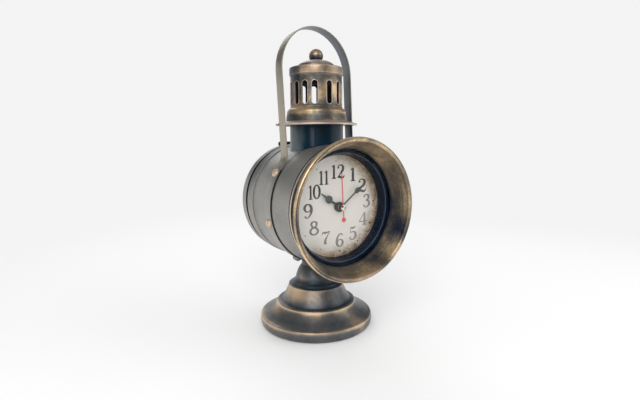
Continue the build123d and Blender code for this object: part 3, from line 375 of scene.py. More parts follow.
# painted light on the chimney's brass: lighter towards the front, painted highlights on the vent's front, and
# height bands that paint highlights on rounded edges and shade in the concave parts
brassLook = {
    "dark": (0.06, 0.068, 0.076), "middle": (0.17, 0.145, 0.112), "bright": (0.62, 0.44, 0.26),
    "patchScale": 60, "grainScale": 1500, "patchiness": 2.2, "graininess": 0.9, "wearAndLight": 0.4,
    "rough": (0.42, 0.34), "metallic": 0.7, "bump": 0.1,
    "litSide": ((0.12, -0.99, 0), 10, 24, 0.3), "bandAxis": "height", "bandRange": (180, 245),
    "spots": [((-7.4, -24, 207), 10, 0.4), ((5, -25, 205), 7, 0.35), ((-16, -18.6, 205), 7, 0.3),
              ((-21, -10, 191), 14, 0.25)],
    "bands": [(180, 0.9), (182.3, 0.95), (184.6, 1.0), (185.4, 0.3), (188.2, 0.15), (190.5, 0.45),
              (193.5, 0.76), (195.6, 0.75), (197.5, 0.35), (199.5, 0.45), (205, 0.66), (213, 0.6), (218, 0.3),
              (221.8, 0.15), (223.2, 0.3), (224, 0.85), (224.8, 0.6), (228.6, 0.62), (229.6, 0.95),
              (230.3, 0.9), (231, 0.45), (233, 0.7), (233.6, 1.0), (236, 1.0), (245, 0.7)],
}
brimLook = {
    **brassLook, "middle": (0.22, 0.2, 0.18), "bright": (0.68, 0.56, 0.48), "wearAndLight": 0.46, "patchiness": 1.2,
    "spots": [],
}
# painted shade on the left of the crown band, and a painted highlight on the dome's front
crownLook = {
    **brassLook, "middle": (0.19, 0.165, 0.14), "bright": (0.6, 0.43, 0.29), "wearAndLight": 0.45, "patchiness": 1.5,
    "spots": [((-24, 0, 226), 17, -0.4), ((-2, -12, 236), 12, 0.3)],
}
# the ball is painted dark navy below and bright above: painted shade under it, painted light on top
finialLook = {
    **brassLook, "dark": (0.008, 0.018, 0.032), "middle": (0.15, 0.135, 0.11), "wearAndLight": 0.5, "patchiness": 1.2,
    "litSide": ((-0.4, -0.9, 0), 0, 24, 0.1), "bandRange": (234, 248),
    "bands": [(234, 0.0), (237.8, 0.0), (239.6, 0.25), (241.5, 0.75), (244, 0.85), (246.5, 0.5), (248, 0.35)],
}
slotLipLook = {
    **brassLook, "dark": (0.16, 0.15, 0.15), "middle": (0.44, 0.36, 0.32), "bright": (0.78, 0.62, 0.54),
    "wearAndLight": 0.62, "patchiness": 1.6, "bands": [(180, 0.5), (245, 0.5)],
}
# painted light and painted reflections on the bell: a dark navy patch on the right, a bright patch lower down
# on the right, darker on the left, lighter towards the top, and a painted highlight band along the lip
bellLook = {
    "dark": (0.012, 0.024, 0.05), "middle": (0.18, 0.15, 0.112), "bright": (0.78, 0.57, 0.35),
    "patchScale": 26, "grainScale": 1500, "patchiness": 1.9, "graininess": 1.2, "wearAndLight": 0.5,
    "rough": (0.42, 0.32), "metallic": 0.75, "bump": 0.08, "litSide": ((0, 0, 1), barrelAxis, 58, 0.12),
    "spots": [((53, -58, 91), 16, -0.65), ((42, -60, 72), 18, 0.7), ((-20, -60, 160), 20, 0.2),
              ((34, -60, 155), 22, 0.3), ((-57, -64, 112), 36, -0.3)],
    "rings": (2.2, 0.5), "bandAxis": "barrel", "bandRange": (46, 60),
    "bands": [(46, 0.1), (49, 0.25), (51, 0.42), (54, 0.56), (56.2, 0.6), (56.9, 0.3), (57.6, 0.95),
              (60, 0.95)],
}
# the flare's back, painted nearly black: painted shade
shadedBellBackLook = {
    **bellLook, "dark": (0.01, 0.012, 0.016), "middle": (0.06, 0.055, 0.048), "bright": (0.3, 0.24, 0.16),
    "wearAndLight": 0.2, "patchiness": 0.8, "spots": [],
    "bands": [(46, 0.3), (51, 0.3), (55, 0.3), (57, 0.7), (58.5, 0.9), (60, 0.9)],
}
# the skirt: painted shadow lines at 46.3 to 47.4 mm ahead and at the bead's front, with a painted highlight
# line on the bead between them
skirtLook = {
    **pewterLook, "dark": (0.006, 0.007, 0.008), "middle": (0.24, 0.235, 0.225), "bright": (0.66, 0.58, 0.48),
    "patchiness": 0.3, "bandAxis": "ahead", "bandRange": (43, 51),
    "bands": [(43, 0.5), (46.1, 0.5), (46.3, 0.0), (47.4, 0.0), (47.7, 0.85), (49.1, 0.95), (49.4, 0.0),
              (51, 0.0)],
}
# on the stand, height bands paint the terrace edges bright, partly wear and partly painted highlight, and the
# grooves under them dark as painted shade; a lit side paints it lighter towards the left, and spots paint
# brighter and darker patches: painted light and shade
pedestalLook = {
    "dark": (0.03, 0.046, 0.062), "middle": (0.15, 0.143, 0.137), "bright": (0.62, 0.45, 0.28),
    "patchScale": 30, "grainScale": 1300, "patchiness": 1.4, "graininess": 0.6, "wearAndLight": 0.34,
    "grainStretch": (1, 1, 3), "rough": (0.38, 0.34), "metallic": 0.5, "bump": 0.06,
    "litSide": ((-0.93, -0.37, 0), 12, 40, 0.3), "bandAxis": "height", "bandRange": (0, 64),
    "bands": [(0, 0.55), (3, 0.36), (6.5, 0.45), (9.2, 1.0), (10.4, 0.5), (13, 0.36), (17, 0.5), (19.0, 0.65),
              (20.9, 1.1), (22.2, 0.1), (25, 0.5), (30, 0.82), (34, 0.9), (36.6, 1.0), (37.6, 0.05),
              (39.5, 0.35), (42, 0.2), (45, 0.6), (50, 0.45), (56, 0.25), (64, 0.2)],
    "spots": [((3, -27, 30), 14, -0.45), ((14, -41, 14), 14, 0.35), ((17, -49, 3), 15, 0.5),
              ((-33, -38, 5), 22, -0.25), ((-35, 8, 19), 15, 0.4), ((-26, -10, 31), 10, 0.2),
              ((40, -10, 12), 30, 0.25)],
}
copperLook = {
    "dark": (0.2, 0.13, 0.085), "middle": (0.52, 0.38, 0.26), "bright": (0.82, 0.64, 0.48),
    "patchScale": 300, "grainScale": 1800, "patchiness": 0.8, "graininess": 0.3, "wearAndLight": 0.65,
    "rough": (0.5, 0.42), "metallic": 0.5, "bump": 0.05,
}
# painted reflections on the neck: lighter towards its right, with two bright stripes up its left side
enamelLook = {
    "dark": (0.002, 0.009, 0.02), "middle": (0.006, 0.024, 0.04), "bright": (0.12, 0.15, 0.17),
    "patchScale": 30, "grainScale": 900, "patchiness": 0.3, "graininess": 0.1, "wearAndLight": 0.42, "specular": 0.22,
    "litSide": ((0.84, -0.54, 0), 8, 24, 0.16), "spots": [((-24, -1, 172), 20, 1.1), ((-24, -1, 150), 20, 1.1)],
    "rough": (0.2, 0.26), "metallic": 0.1, "bump": 0.02,
}
# the bands paint thin bright blue lines at the steps' edges: painted highlights
bezelLook = {
    "dark": (0.002, 0.005, 0.013), "middle": (0.014, 0.034, 0.064), "bright": (0.24, 0.38, 0.54),
    "patchScale": 30, "grainScale": 900, "patchiness": 0.25, "graininess": 0.1, "wearAndLight": 0.1, "specular": 0.15,
    "rough": (0.14, 0.2), "metallic": 0.1, "bump": 0.02,
    "bandAxis": "barrel", "bandRange": (42, 52),
    "bands": [(42, 0.6), (43.3, 0.8), (43.6, 0.5), (44.9, 0.45), (45.3, 0.6), (45.55, 1.2), (45.8, 0.5),
              (48, 0.45), (49.7, 0.45), (49.95, 1.1), (50.2, 0.5), (52, 0.45)],
}

pewter = agedMetal("pewterSheet", pewterLook)
barrelPewter = agedMetal("barrelPewter", barrelLook)
rimPewterGrooveShade = agedMetal("rimPewterGrooveShade", rimLook)
strapMetal = agedMetal("wornStrap", strapLook)
strapInside = agedMetal("strapInside", strapInsideLook)
agedBrass = agedMetal("agedBrass", brassLook)
finialBrass = agedMetal("finialBrass", finialLook)
slotCopper = agedMetal("slotCopper", slotLipLook)
bellBrass = agedMetal("bellBrass", bellLook)
shadedBellBack = agedMetal("shadedBellBack", shadedBellBackLook)
bellSkirt = agedMetal("bellSkirt", skirtLook)
ventInside = plainSkin("ventInside", {"colour": (0.008, 0.01, 0.016), "rough": 0.7})
brimBrass = agedMetal("brimBrass", brimLook)
crownBrass = agedMetal("crownBrass", crownLook)
darkBronze = agedMetal("darkBronze", pedestalLook)
copperGold = agedMetal("copperGold", copperLook)
darkEnamel = agedMetal("darkEnamel", enamelLook)
bezelBlack = agedMetal("bezelBlack", bezelLook)
blackFitting = plainSkin("blackFitting", {"colour": (0.02, 0.02, 0.02), "rough": 0.4, "metallic": 0.3})
plainSteel = plainSkin("plainSteel", {"colour": (0.5, 0.5, 0.5), "rough": 0.32, "metallic": 1.0})
plainBrass = plainSkin("plainBrass", {"colour": (0.72, 0.52, 0.26), "rough": 0.25, "metallic": 1.0})
capPolish = plainSkin("capPolish", {
    "colour": (0.86, 0.84, 0.74), "rough": 0.16, "metallic": 1.0, "dip": 0.95})
feltSkin = plainSkin("feltPad", {"colour": (0.02, 0.02, 0.02), "rough": 0.95, "bump": 0.6})
blackPlastic = plainSkin("blackPlastic", {"colour": (0.03, 0.03, 0.032), "rough": 0.5})
whitePlastic = plainSkin("whitePlastic", {"colour": (0.72, 0.7, 0.64), "rough": 0.45, "dip": 0.94})
gasketRubber = plainSkin("gasketRubber", {"colour": (0.03, 0.03, 0.03), "rough": 0.8})
handBlack = plainSkin("handBlack", {"colour": (0.11, 0.13, 0.132), "rough": 0.42, "metallic": 0.4})
handRed = plainSkin("handRed", {"colour": (0.75, 0.12, 0.13), "rough": 0.4, "dip": 0.92})
coilCopper = plainSkin("coilCopper", {"colour": (0.5, 0.2, 0.08), "rough": 0.3, "metallic": 1.0})
boardGreen = plainSkin("boardGreen", {"colour": (0.03, 0.17, 0.08), "rough": 0.35})
cellJacket = plainSkin("cellJacket", {"colour": (0.1, 0.1, 0.11), "rough": 0.3, "metallic": 0.6})


# print that is rubbed in spots, and changes to the right and below a height
inkLook = {     # black, faded below the top hours and most at the right
    "right": 6, "low": (20, 40, True, 0.82), "spots": (260, 0.7),
    "stops": [(0, (0.055, 0.055, 0.055)), (0.4, (0.14, 0.138, 0.13)), (1, (0.36, 0.34, 0.31))],
}
dotLook = {     # all but gone at the left, dark brown at the right and below
    "right": 21, "low": (0, 16, False, 1), "spots": (900, 0.6),
    "stops": [(0, (0.5, 0.47, 0.42)), (0.3, (0.2, 0.17, 0.14)), (0.5, (0.02, 0.013, 0.01))],
}
# the rim term adds a smooth darkening at the very edge: painted shade from the bezel
paperLook = {   # cream, foxed brown towards the edge and most at the right and the lower right
    "foxFrom": 27, "foxReach": 15, "right": 22, "low": -6, "level": 0.55, "blotch": 130, "fine": (700, 0.5),
    "cut": 0.58, "gain": 3.6, "rim": 0.45,
    "stops": [(0, (0.86, 0.825, 0.765)), (0.35, (0.53, 0.46, 0.37)), (0.7, (0.36, 0.27, 0.18)),
              (1, (0.2, 0.13, 0.085))],
}


def dialInk(name, look):
    material, tree, shader, place = newMaterial(name)
    x, y, z = axesOf(tree, place)
    above, gain, clamp, share = look["low"]
    low = mathNode(tree, "SUBTRACT", (barrelAxis + above) * mm, z)
    low = mathNode(tree, "MULTIPLY", mathNode(tree, "MULTIPLY", low, gain, clamp=clamp), share)
    side = mathNode(tree, "ADD", mathNode(tree, "MULTIPLY", x, look["right"]), low)
    scale, reach = look["spots"]
    spots = swing(tree, noiseAt(tree, place, scale), reach)
    colour = rampNode(tree, mathNode(tree, "ADD", side, spots, clamp=True), look["stops"])
    setSockets(tree, shader, {"Base Color": colour, "Roughness": 0.7})
    return material


def dialPaper(look):
    material, tree, shader, place = newMaterial("dialPaper")
    x, y, z = axesOf(tree, place)
    away = mathNode(tree, "SUBTRACT", spread(tree, place, "barrel"), look["foxFrom"])
    edge = mathNode(tree, "POWER", mathNode(tree, "DIVIDE", away, look["foxReach"], clamp=True), 2)
    right = mathNode(tree, "MULTIPLY", x, look["right"])
    low = mathNode(tree, "MULTIPLY", mathNode(tree, "SUBTRACT", z, barrelAxis * mm), look["low"])
    side = mathNode(tree, "ADD", mathNode(tree, "ADD", right, low), look["level"], clamp=True)
    scale, share = look["fine"]
    fine = mathNode(tree, "MULTIPLY", noiseAt(tree, place, scale, roughness=0.7), share)
    fox = mathNode(tree, "ADD", noiseAt(tree, place, look["blotch"], detail=5, roughness=0.7), fine)
    fox = mathNode(tree, "MULTIPLY", mathNode(tree, "SUBTRACT", fox, look["cut"]), look["gain"], clamp=True)
    fox = mathNode(tree, "MULTIPLY", fox, mathNode(tree, "MULTIPLY", edge, side), clamp=True)
    # the smooth darkening at the very edge is painted shade from the bezel
    rim = mathNode(tree, "MULTIPLY", mathNode(tree, "MULTIPLY", edge, edge), look["rim"])
    fox = mathNode(tree, "ADD", fox, mathNode(tree, "MULTIPLY", rim, side), clamp=True)
    setSockets(tree, shader, {"Base Color": rampNode(tree, fox, look["stops"]), "Roughness": 0.6})
    return material


def clearPane():
    material, tree, shader, place = newMaterial("clearPane")
    tint = mixColours(tree, noiseAt(tree, place, 40), (0.02, 0.022, 0.024), (0.03, 0.032, 0.034))
    setSockets(tree, shader, {"Base Color": tint, "Roughness": 0.03, "Alpha": 0.05})
    return material


# dress the solids that keep their own shape
dressed = {
    pewter: ["rear_door"],
    blackFitting: ["rim_hinge_leaf", "rim_hinge_rivets", "door_hinge_leaf", "door_hinge_rivets", "hinge_pin",
                   "dial_retainer", "rotor"],
    plainSteel: ["base_plate", "saddle_shim", "bolt_saddle", "stand_bolt", "stand_nut", "retainer_screws",
                 "stator", "positive_contact", "negative_contact"],
    plainBrass: ["finial_nut", "cannon_pinion"],
    capPolish: ["hand_cap"],
    feltSkin: ["base_pad"],
    agedBrass: ["door_knob"],
    blackPlastic: ["movement_case", "movement_cover", "coil_bobbin", "set_knob"],
    whitePlastic: ["train_plate", "intermediate_wheel", "second_wheel", "third_wheel", "centre_wheel",
                   "minute_wheel", "hour_wheel"],
    gasketRubber: ["movement_gasket"],
    handBlack: ["hour_hand", "minute_hand", "hand_washer", "hand_nut"],
    handRed: ["second_hand"],
    coilCopper: ["coil"],
    boardGreen: ["circuit_board"],
    cellJacket: ["battery"],
    dialPaper(paperLook): ["dial"],
    clearPane(): ["lens"],
}
for material, nodes in dressed.items():
    for node in nodes:
        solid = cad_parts[node]
        solid.data.materials.clear()
        solid.data.materials.append(material)
print("solids dressed")

# stand
pedestal = {
    "foot": 50.3, "sole": 1.2, "lift": 0.6, "hollow": 2.0, "rim": (51.4, 9.2), "flange": (49.9, 0.9),
    "terrace": (36.2, 20.2), "shoulder": (25.3, 35.7), "edge": 1.5, "drawIn": (0.9, 0.7),
    "ledges": (4.6, 2.7), "rise": 0.9, "bead": (20.0, 40.3), "neckFoot": (18.8, 42.0),
    "neck": (13.0, 55.3), "top": (12.8, 60.2),
}


def makePedestal(look):
    foot, lift, floor = look["foot"], look["lift"], look["lift"] + look["hollow"]
    sole = foot - look["sole"]
    terrace, high = look["terrace"]
    shoulder, top = look["shoulder"]
    edge, rise = look["edge"], look["edge"] + look["rise"]
    outline = [
        (0, floor), (sole, floor), (sole, lift), (foot, lift), (*look["rim"], 0.9),
        (look["flange"][0], look["rim"][1] + look["flange"][1], 0.25), (terrace, high, -1.1),
        (terrace - look["drawIn"][0], high + edge, 0.35), (terrace - look["ledges"][0], high + rise, -0.12),
        (shoulder, top, -0.3), (shoulder - look["drawIn"][1], top + edge, 0.35),
        (shoulder - look["ledges"][1], top + rise, -0.1), (*look["bead"], 0.35), (*look["neckFoot"], -0.1),
        (*look["neck"], 1.05), look["top"], (0, look["top"][1])]
    finish(spunPiece("pedestalShell", outline, edge=0.25, segments=160), "pedestal", darkBronze)


makePedestal(pedestal)
print("stand made")

# barrel with its collar and rear rim
barrel = {
    "wall": 0.8, "front": 46.3, "rear": -32.6, "collar": 0.5, "collarFront": -21.5, "collarRound": (0.2, 1.2),
    "rimRing": 52.0, "rimFront": -37.3, "rimRear": -46.0, "rimBore": 50.2, "rimRound": (1.2, 1.6), "lip": 2.2,
    "lipSheet": 1.2, "spigot": 6.0, "spigotGap": 0.1, "crease": (0.3, 0.4),
}


def makeBarrel(look):
    inner, rear = barrelRadius - look["wall"], look["rear"]
    shell = spunPiece("barrelShell", [
        (inner, rear), (barrelRadius, rear), (barrelRadius, look["front"]), (inner, look["front"])],
        alongBarrel, segments=192, edge=0.1)
    finish(shell, "barrel", barrelPewter)
    skin, ahead = barrelRadius + look["collar"], look["collarFront"]
    small, crease = look["crease"]
    inward, along = look["collarRound"]
    collar = spunPiece("collarBand", [
        (barrelRadius, rear), (skin - inward, rear), (skin, rear + along, 0.2), (skin, ahead - crease),
        (skin - small, ahead, 0.1), (barrelRadius, ahead)], alongBarrel, segments=192, edge=0.08)
    finish(collar, "rear_collar", pewter)
    ring, bore, spigot = look["rimRing"], look["rimBore"], inner - look["spigotGap"]
    back, ahead, end = look["rimRear"], look["rimFront"], rear + look["spigot"]
    lip, sheet = bore - look["lip"], back + look["lipSheet"]
    inward, along = look["rimRound"]
    rim = spunPiece("rimRing", [
        (bore, end), (bore, sheet), (lip, sheet), (lip, back), (ring - inward, back),
        (ring, back + along, 0.35), (ring, ahead - crease), (ring - crease, ahead, 0.12), (spigot, ahead),
        (spigot, end)],
        alongBarrel, segments=192, edge=0.1)
    finish(rim, "rear_rim", rimPewterGrooveShade)


makeBarrel(barrel)
print("barrel made")

# bell and bezel
bell = {
    "fit": 0.05, "skirt": 2.0, "band": 0.8, "groove": 0.35, "grooveSteps": (0.2, 0.9, 1.2), "ridge": 0.7,
    "bead": 3.0, "fall": 0.3, "back": 46.3, "wall": 1.1, "throat": 48.8, "waist": 50.7, "lip": (56.2, 63.1),
    "roll": 2.1, "bow": 0.7,
}
bezel = {"outer": 51.2, "recess": 50.1, "ledge": 45.9, "step": 0.5, "view": 43.2, "dialRecess": 48.2,
         "front": 46.3, "ledgeAhead": 45.0, "dialAhead": 36.0, "seat": 0.6, "rear": 35.4}


def makeBell(look):
    back, bead = look["back"], look["back"] + look["bead"]
    skirt = barrelRadius + look["fit"]
    band, groove, ridge = skirt + look["band"], skirt + look["groove"], skirt + look["ridge"]
    first, second, third = [back + step for step in look["grooveSteps"]]
    centre, ahead = look["lip"]
    roll = look["roll"]
    outline = [
        (skirt, back - look["skirt"]), (band, back - look["skirt"]), (band, back), (groove, first),
        (groove, second), (ridge, third), (ridge, bead, 0.3), (look["waist"], bead + look["fall"]),
        (centre + roll * 0.3, ahead - roll * 0.95, -look["bow"]),
        (centre + roll, ahead, roll * 0.193), (centre, ahead + roll, roll * 0.293),
        (centre - roll, ahead, roll * 0.293),
        (look["throat"], back + look["wall"], look["bow"]), (look["throat"], back), (skirt, back)]
    horn = spunPiece("bellHorn", outline, alongBarrel, segments=192, edge=0.12)
    finish(horn, "bell", bellBrass)

    def choose(face):
        # the flare's back is painted nearly black as painted shade; the skirt and its bead carry painted
        # shadow lines with a painted highlight line between them
        reach = -face.center.y / mm
        if fromAxis(face) / mm > skirt + 0.2 and reach < bead + 0.1:
            return 2
        return 1 if face.normal.y > 0.1 and back < reach < ahead else 0

    paintFaces(horn, (shadedBellBack, bellSkirt), choose)


def makeBezel(look):
    ahead, step, dial = look["ledgeAhead"], look["step"], look["dialAhead"]
    low = look["ledge"] - step
    outline = [
        (look["outer"], look["rear"]), (look["outer"], look["front"]), (look["recess"], look["front"]),
        (look["recess"], ahead), (look["ledge"], ahead), (low, ahead - step, -0.08), (low, ahead - 3 * step),
        (look["view"], dial + look["seat"]), (look["view"], dial), (look["dialRecess"], dial),
        (look["dialRecess"], look["rear"])]
    finish(spunPiece("bezelCone", outline, alongBarrel, segments=192, edge=0.12), "bezel_ring", bezelBlack)


makeBell(bell)
makeBezel(bezel)
print("bell made")

# chimney
neck = {"radius": 23.4, "wall": 0.8, "top": 185.0, "flare": (0.35, 1.2), "lift": (0.9, 0.45, 0.25),
        "sink": -0.3, "count": 128}
brim = {"inner": 27.2, "tube": 23.5, "edge": 36.0, "low": 181.2, "rise": 3.8, "sheet": 1.0, "roll": 0.8,
        "notchInside": 33.2, "notch": (20, 11.6, 16), "notchAt": (-4.0, 183)}
vent = {"foot": 26.6, "bottom": 185.0, "collarTop": 198.0, "radius": 22.5, "wall": 1.0, "top": 221.6,
        "slotLow": 198.7, "slotHigh": 217.7, "slotWidth": 4.9, "slotDepth": (12, 20), "plain": -19.3,
        "plainSpan": 32.4, "left": (6, 21.84), "right": (8, 26.17), "lip": 0.5, "lipSheet": 0.6,
        "darkAbove": 186.0, "darkDepth": 0.7,
        # inwards from the foot, above the bottom, and bow
        "collar": [(0, 1.6, 0.1), (0.7, 6.0, 0.15), (3.0, 10.6, 0.8)],
        "inside": [(3.8, 10.0, 0), (1.7, 6.0, -0.5)]}
crown = {"bottom": 221.6, "skirt": 22.5, "band": 23.4, "edge": 8.6, "dome": 16.4, "domeBase": 230.8,
         "domeRise": 6.1, "domeSide": 2.5, "wall": 1.2, "plug": (1.1, 3), "flat": 5, "paleAbove": 231.2}
finial = {"radius": 6.15, "height": 240.4, "seat": 236.9, "steps": 20}


def onBarrel(x, radius):
    return barrelAxis + math.sqrt(radius * radius - x * x)


def makeNeck(look):
    # rings stacked from the top down; the lower rings follow the barrel's curve, so far above it in mm
    outer, inner = look["radius"], look["radius"] - look["wall"]
    slight, wide = [outer + flare for flare in look["flare"]]
    high, middle, low = look["lift"]
    sink, count = look["sink"], look["count"]
    rings = [(inner, None), (outer, None), (outer, high), (slight, middle), (wide, low), (wide, sink),
             (inner, sink)]
    dropSelection()
    bpy.ops.mesh.primitive_circle_add(vertices=count, radius=inner * mm, location=(0, 0, look["top"] * mm))
    tube = bpy.context.object
    tube.name = "neckTube"
    bpy.ops.object.transform_apply(location=True)
    editAll(tube)
    size = inner
    for radius, above in rings[1:]:
        bpy.ops.mesh.extrude_region_move(TRANSFORM_OT_translate={"value": (0, 0, 0)})
        bpy.ops.transform.resize(value=(radius / size, radius / size, 1), center_override=(0, 0, 0))
        size = radius
    bpy.ops.object.mode_set(mode="OBJECT")
    for k, (radius, above) in enumerate(rings):
        for v in tube.data.vertices[k * count:(k + 1) * count]:
            if above is not None:
                v.co.z = (onBarrel(v.co.x / mm, barrelRadius) + above) * mm
    onlySelect(tube)
    bpy.ops.object.mode_set(mode="EDIT")
    bpy.ops.mesh.select_all(action="DESELECT")
    bpy.ops.mesh.select_non_manifold()
    bpy.ops.mesh.bridge_edge_loops()
    faceOut()
    putAt(tube, onChimney)
    shadeSmooth(tube)
    finish(tube, "neck_tube", darkEnamel)


def makeBrim(look):
    low, top = look["low"], look["low"] + look["rise"]
    edge, roll, under = look["edge"], look["roll"], top - look["sheet"]
    plate = spunPiece("brimPlate", [
        (look["tube"], under), (look["inner"], under), (edge - roll, low), (edge, low + roll, 0.32),
        (edge - roll, low + 2 * roll, 0.32), (look["inner"], top), (look["tube"], top)], onChimney, edge=0.1)
    for side in (-1, 1):
        # a notch for each leg of the handle
        across = side * (look["notchInside"] + look["notch"][0] / 2)
        along, high = look["notchAt"]
        dropSelection()
        bpy.ops.mesh.primitive_cube_add(size=mm, location=(across * mm, along * mm, high * mm))
        notch = bpy.context.object
        notch.scale = look["notch"]
        cutWith(plate, notch)
    shadeSmooth(plate)
    finish(plate, "brim", brimBrass)


def slotRing(look, grow, name, solid):
    # a filled stadium in the plane that faces forwards, as tall as a slot
    half = look["slotWidth"] / 2 + grow
    low = look["slotLow"] + look["slotWidth"] / 2
    high = look["slotHigh"] - look["slotWidth"] / 2
    dropSelection()
    bpy.ops.mesh.primitive_circle_add(vertices=28, radius=half * mm, fill_type="NGON",
                                      location=(0, 0, low * mm), rotation=(math.pi / 2, 0, 0))
    shape = bpy.context.object
    shape.name = name
    bpy.ops.object.transform_apply(location=True, rotation=True)
    for v in shape.data.vertices:
        v.select = v.co.z > low * mm - 1e-6
    for e in shape.data.edges:
        e.select = all(shape.data.vertices[i].select for i in e.vertices)
    for f in shape.data.polygons:
        f.select = False
    bpy.ops.object.mode_set(mode="EDIT")
    bpy.ops.transform.translate(value=(0, 0, (high - low) * mm))
    bpy.ops.mesh.select_all(action="SELECT")
    if solid:
        near, far = look["slotDepth"]
        bpy.ops.transform.translate(value=(0, -near * mm, 0))
        bpy.ops.mesh.extrude_region_move(TRANSFORM_OT_translate={"value": (0, -far * mm, 0)})
        faceOut()
    else:
        bpy.ops.mesh.inset(thickness=grow * mm)
        bpy.ops.mesh.delete(type="FACE")
        bpy.ops.object.mode_set(mode="OBJECT")
    return shape


def makeVent(look):
    foot, low, radius, wall = look["foot"], look["bottom"], look["radius"], look["wall"]
    middle, top = look["collarTop"], look["top"]
    collar, inside = [[(foot - x, low + z, bow) for x, z, bow in look[side]] for side in ("collar", "inside")]
    can = spunPiece("ventCan", [
        (foot - wall, low), (foot, low), *collar, (radius + 0.3, middle - 0.6, -0.3), (radius, middle, -0.05),
        (radius, top), (radius - wall, top), (radius - wall, middle - 1.2), *inside], segments=160, edge=0)
    turns = []
    for side, group in ((-1, "left"), (1, "right")):
        count, pitch = look[group]
        turns += [look["plain"] + side * (look["plainSpan"] / 2 + pitch * k) for k in range(count)]
    cutter = slotRing(look, 0, "slotCutter", True)
    lip = slotRing(look, look["lip"], "slotLip", False)
    for v in lip.data.vertices:
        v.co.y = -math.sqrt((radius * mm) ** 2 - v.co.x ** 2)
    useModifier(lip, "SOLIDIFY", thickness=look["lipSheet"] * mm, offset=0)
    softenEdges(lip, 0.12)
    cutters, lips = [], []
    for turn in turns:
        spin = Matrix.Rotation(math.radians(turn), 4, "Z")
        cutters.append(copyOf(cutter, "slotCutter", spin))
        lips.append(copyOf(lip, "slotLip", spin))
    bpy.data.objects.remove(cutter)
    bpy.data.objects.remove(lip)
    cutWith(can, joinAll(cutters))
    lips = joinAll(lips)
    for part in (can, lips):
        putAt(part, onChimney)
        shadeSmooth(part)
        finish(part, "vent_body", agedBrass if part == can else slotCopper)

    def sooty(face):
        # the inside above the foot is coloured near black
        away = math.hypot(face.center.x, face.center.y - chimneyY * mm)
        return away < (radius - wall * look["darkDepth"]) * mm and face.center.z > look["darkAbove"] * mm

    paintFaces(can, (ventInside,), sooty)


def makeCrown(look):
    low, band, dome, flat = look["bottom"], look["band"], look["dome"], look["flat"]
    edge = low + look["edge"]
    base, high = look["domeBase"], look["domeBase"] + look["domeRise"]
    under, ceiling = edge - look["wall"], high - look["wall"]
    gap, depth = look["plug"]
    skirt, inner = look["skirt"], look["skirt"] - gap
    cap = spunPiece("crownCap", [
        (inner - 1, low - depth), (inner, low - depth), (inner, low), (skirt, low), (skirt + 0.2, low + 1.5),
        (band, low + 2.3, -0.1), (band, edge - 1.0), (band - 1.0, edge, 0.3), (dome, base),
        (dome - 1.2, base + look["domeSide"], 0.2), (flat, high, 0.85), (0, high), (0, ceiling),
        (flat, ceiling), (dome - 2.2, base + look["domeSide"] / 2, -0.7), (dome - 1.4, under),
        (band - 1.7, under), (band - 1.3, low + 3.0), (inner - 1, low + 1)], onChimney, segments=160)
    finish(cap, "crown_cap", crownBrass)
    # the dome was rubbed paler than the band
    paintFaces(cap, (brimBrass,), lambda face: face.center.z > look["paleAbove"] * mm)


def makeFinial(look):
    # from the ball's flat seat, up and over to its top
    radius, middle, seat, steps = look["radius"], look["height"], look["seat"], look["steps"]
    start = math.asin((seat - middle) / radius)
    ball = [(0, seat)]
    for k in range(steps + 1):
        angle = start + (math.pi / 2 - start) * k / steps
        ball.append((max(0, radius * math.cos(angle)), middle + radius * math.sin(angle)))
    ball[-1] = (0, middle + radius)
    finish(spunPiece("finialBall", ball, onChimney, segments=64, edge=0), "finial", finialBrass)


makeNeck(neck)
makeBrim(brim)
makeVent(vent)
makeCrown(crown)
makeFinial(finial)
print("chimney made")

# handle strap with its rivets
strap = {
    "width": 10.8, "sheet": 1.0, "front": -15.2, "shift": 3.6, "shiftLow": 141.58, "shiftHigh": 153.08,
    "lean": 4.35, "half": 35.5, "footHalf": 34.6, "footZ": 138.85, "turnZ": 158, "corner": (0.2, 0.4),
    "wrapFrom": 45, "fit": 0.02, "top": 265.4, "arch": 39.0, "bareAbove": 153, "plainBelow": 146,
    "inward": 5,
}
rivet = {"angles": (57, 104, 151), "head": 3.7, "foot": 0.82, "side": 1.3, "top": 3.5, "y": -9.8,
         "shadedBelow": 80}


def strapEdge(look, z):
    # where the strap's front edge lies at a height
    low, high = look["shiftLow"], look["shiftHigh"]
    if z < high:
        share = max(0, (z - low) / (high - low))
        return look["front"] + look["shift"] * share * share * (3 - 2 * share)
    return look["front"] + look["shift"] + (z - high) * math.tan(math.radians(look["lean"]))


def strapPath(look):
    # the strap's inner line in mm, over the arch, down the right leg and round the barrel, then mirrored
    half, foot = look["half"] - look["sheet"], look["footHalf"] - look["sheet"]
    spring, rise = look["top"] - look["arch"], look["arch"] - look["sheet"]
    around, turnZ, start = barrelRadius + look["fit"], look["turnZ"], look["wrapFrom"]

    def circle(angle, wide, tall, middle):
        return wide * math.sin(math.radians(angle)), middle + tall * math.cos(math.radians(angle))

    right = [circle(angle, half, rise, spring) for angle in range(0, 91, 5)]
    legX = foot + (half - foot) * (turnZ - look["footZ"]) / (spring - look["footZ"])
    for share in (1 - k / 6 for k in range(1, 7)):
        right.append((legX + (half - legX) * share, turnZ + (spring - turnZ) * share))
    out, above = look["corner"]
    corner = foot + out, onBarrel(foot + out, around) + above
    knots = (legX, turnZ), corner, circle(start, around, around, barrelAxis)
    for t in (k / 8 for k in range(1, 8)):
        shares = (1 - t) ** 2, 2 * t * (1 - t), t * t
        right.append(tuple(sum(share * knot[i] for share, knot in zip(shares, knots)) for i in (0, 1)))
    right += [circle(start + (180 - start) * k / 36, around, around, barrelAxis) for k in range(37)]
    return right + [(-x, z) for x, z in reversed(right[1:-1])] + right[:1]


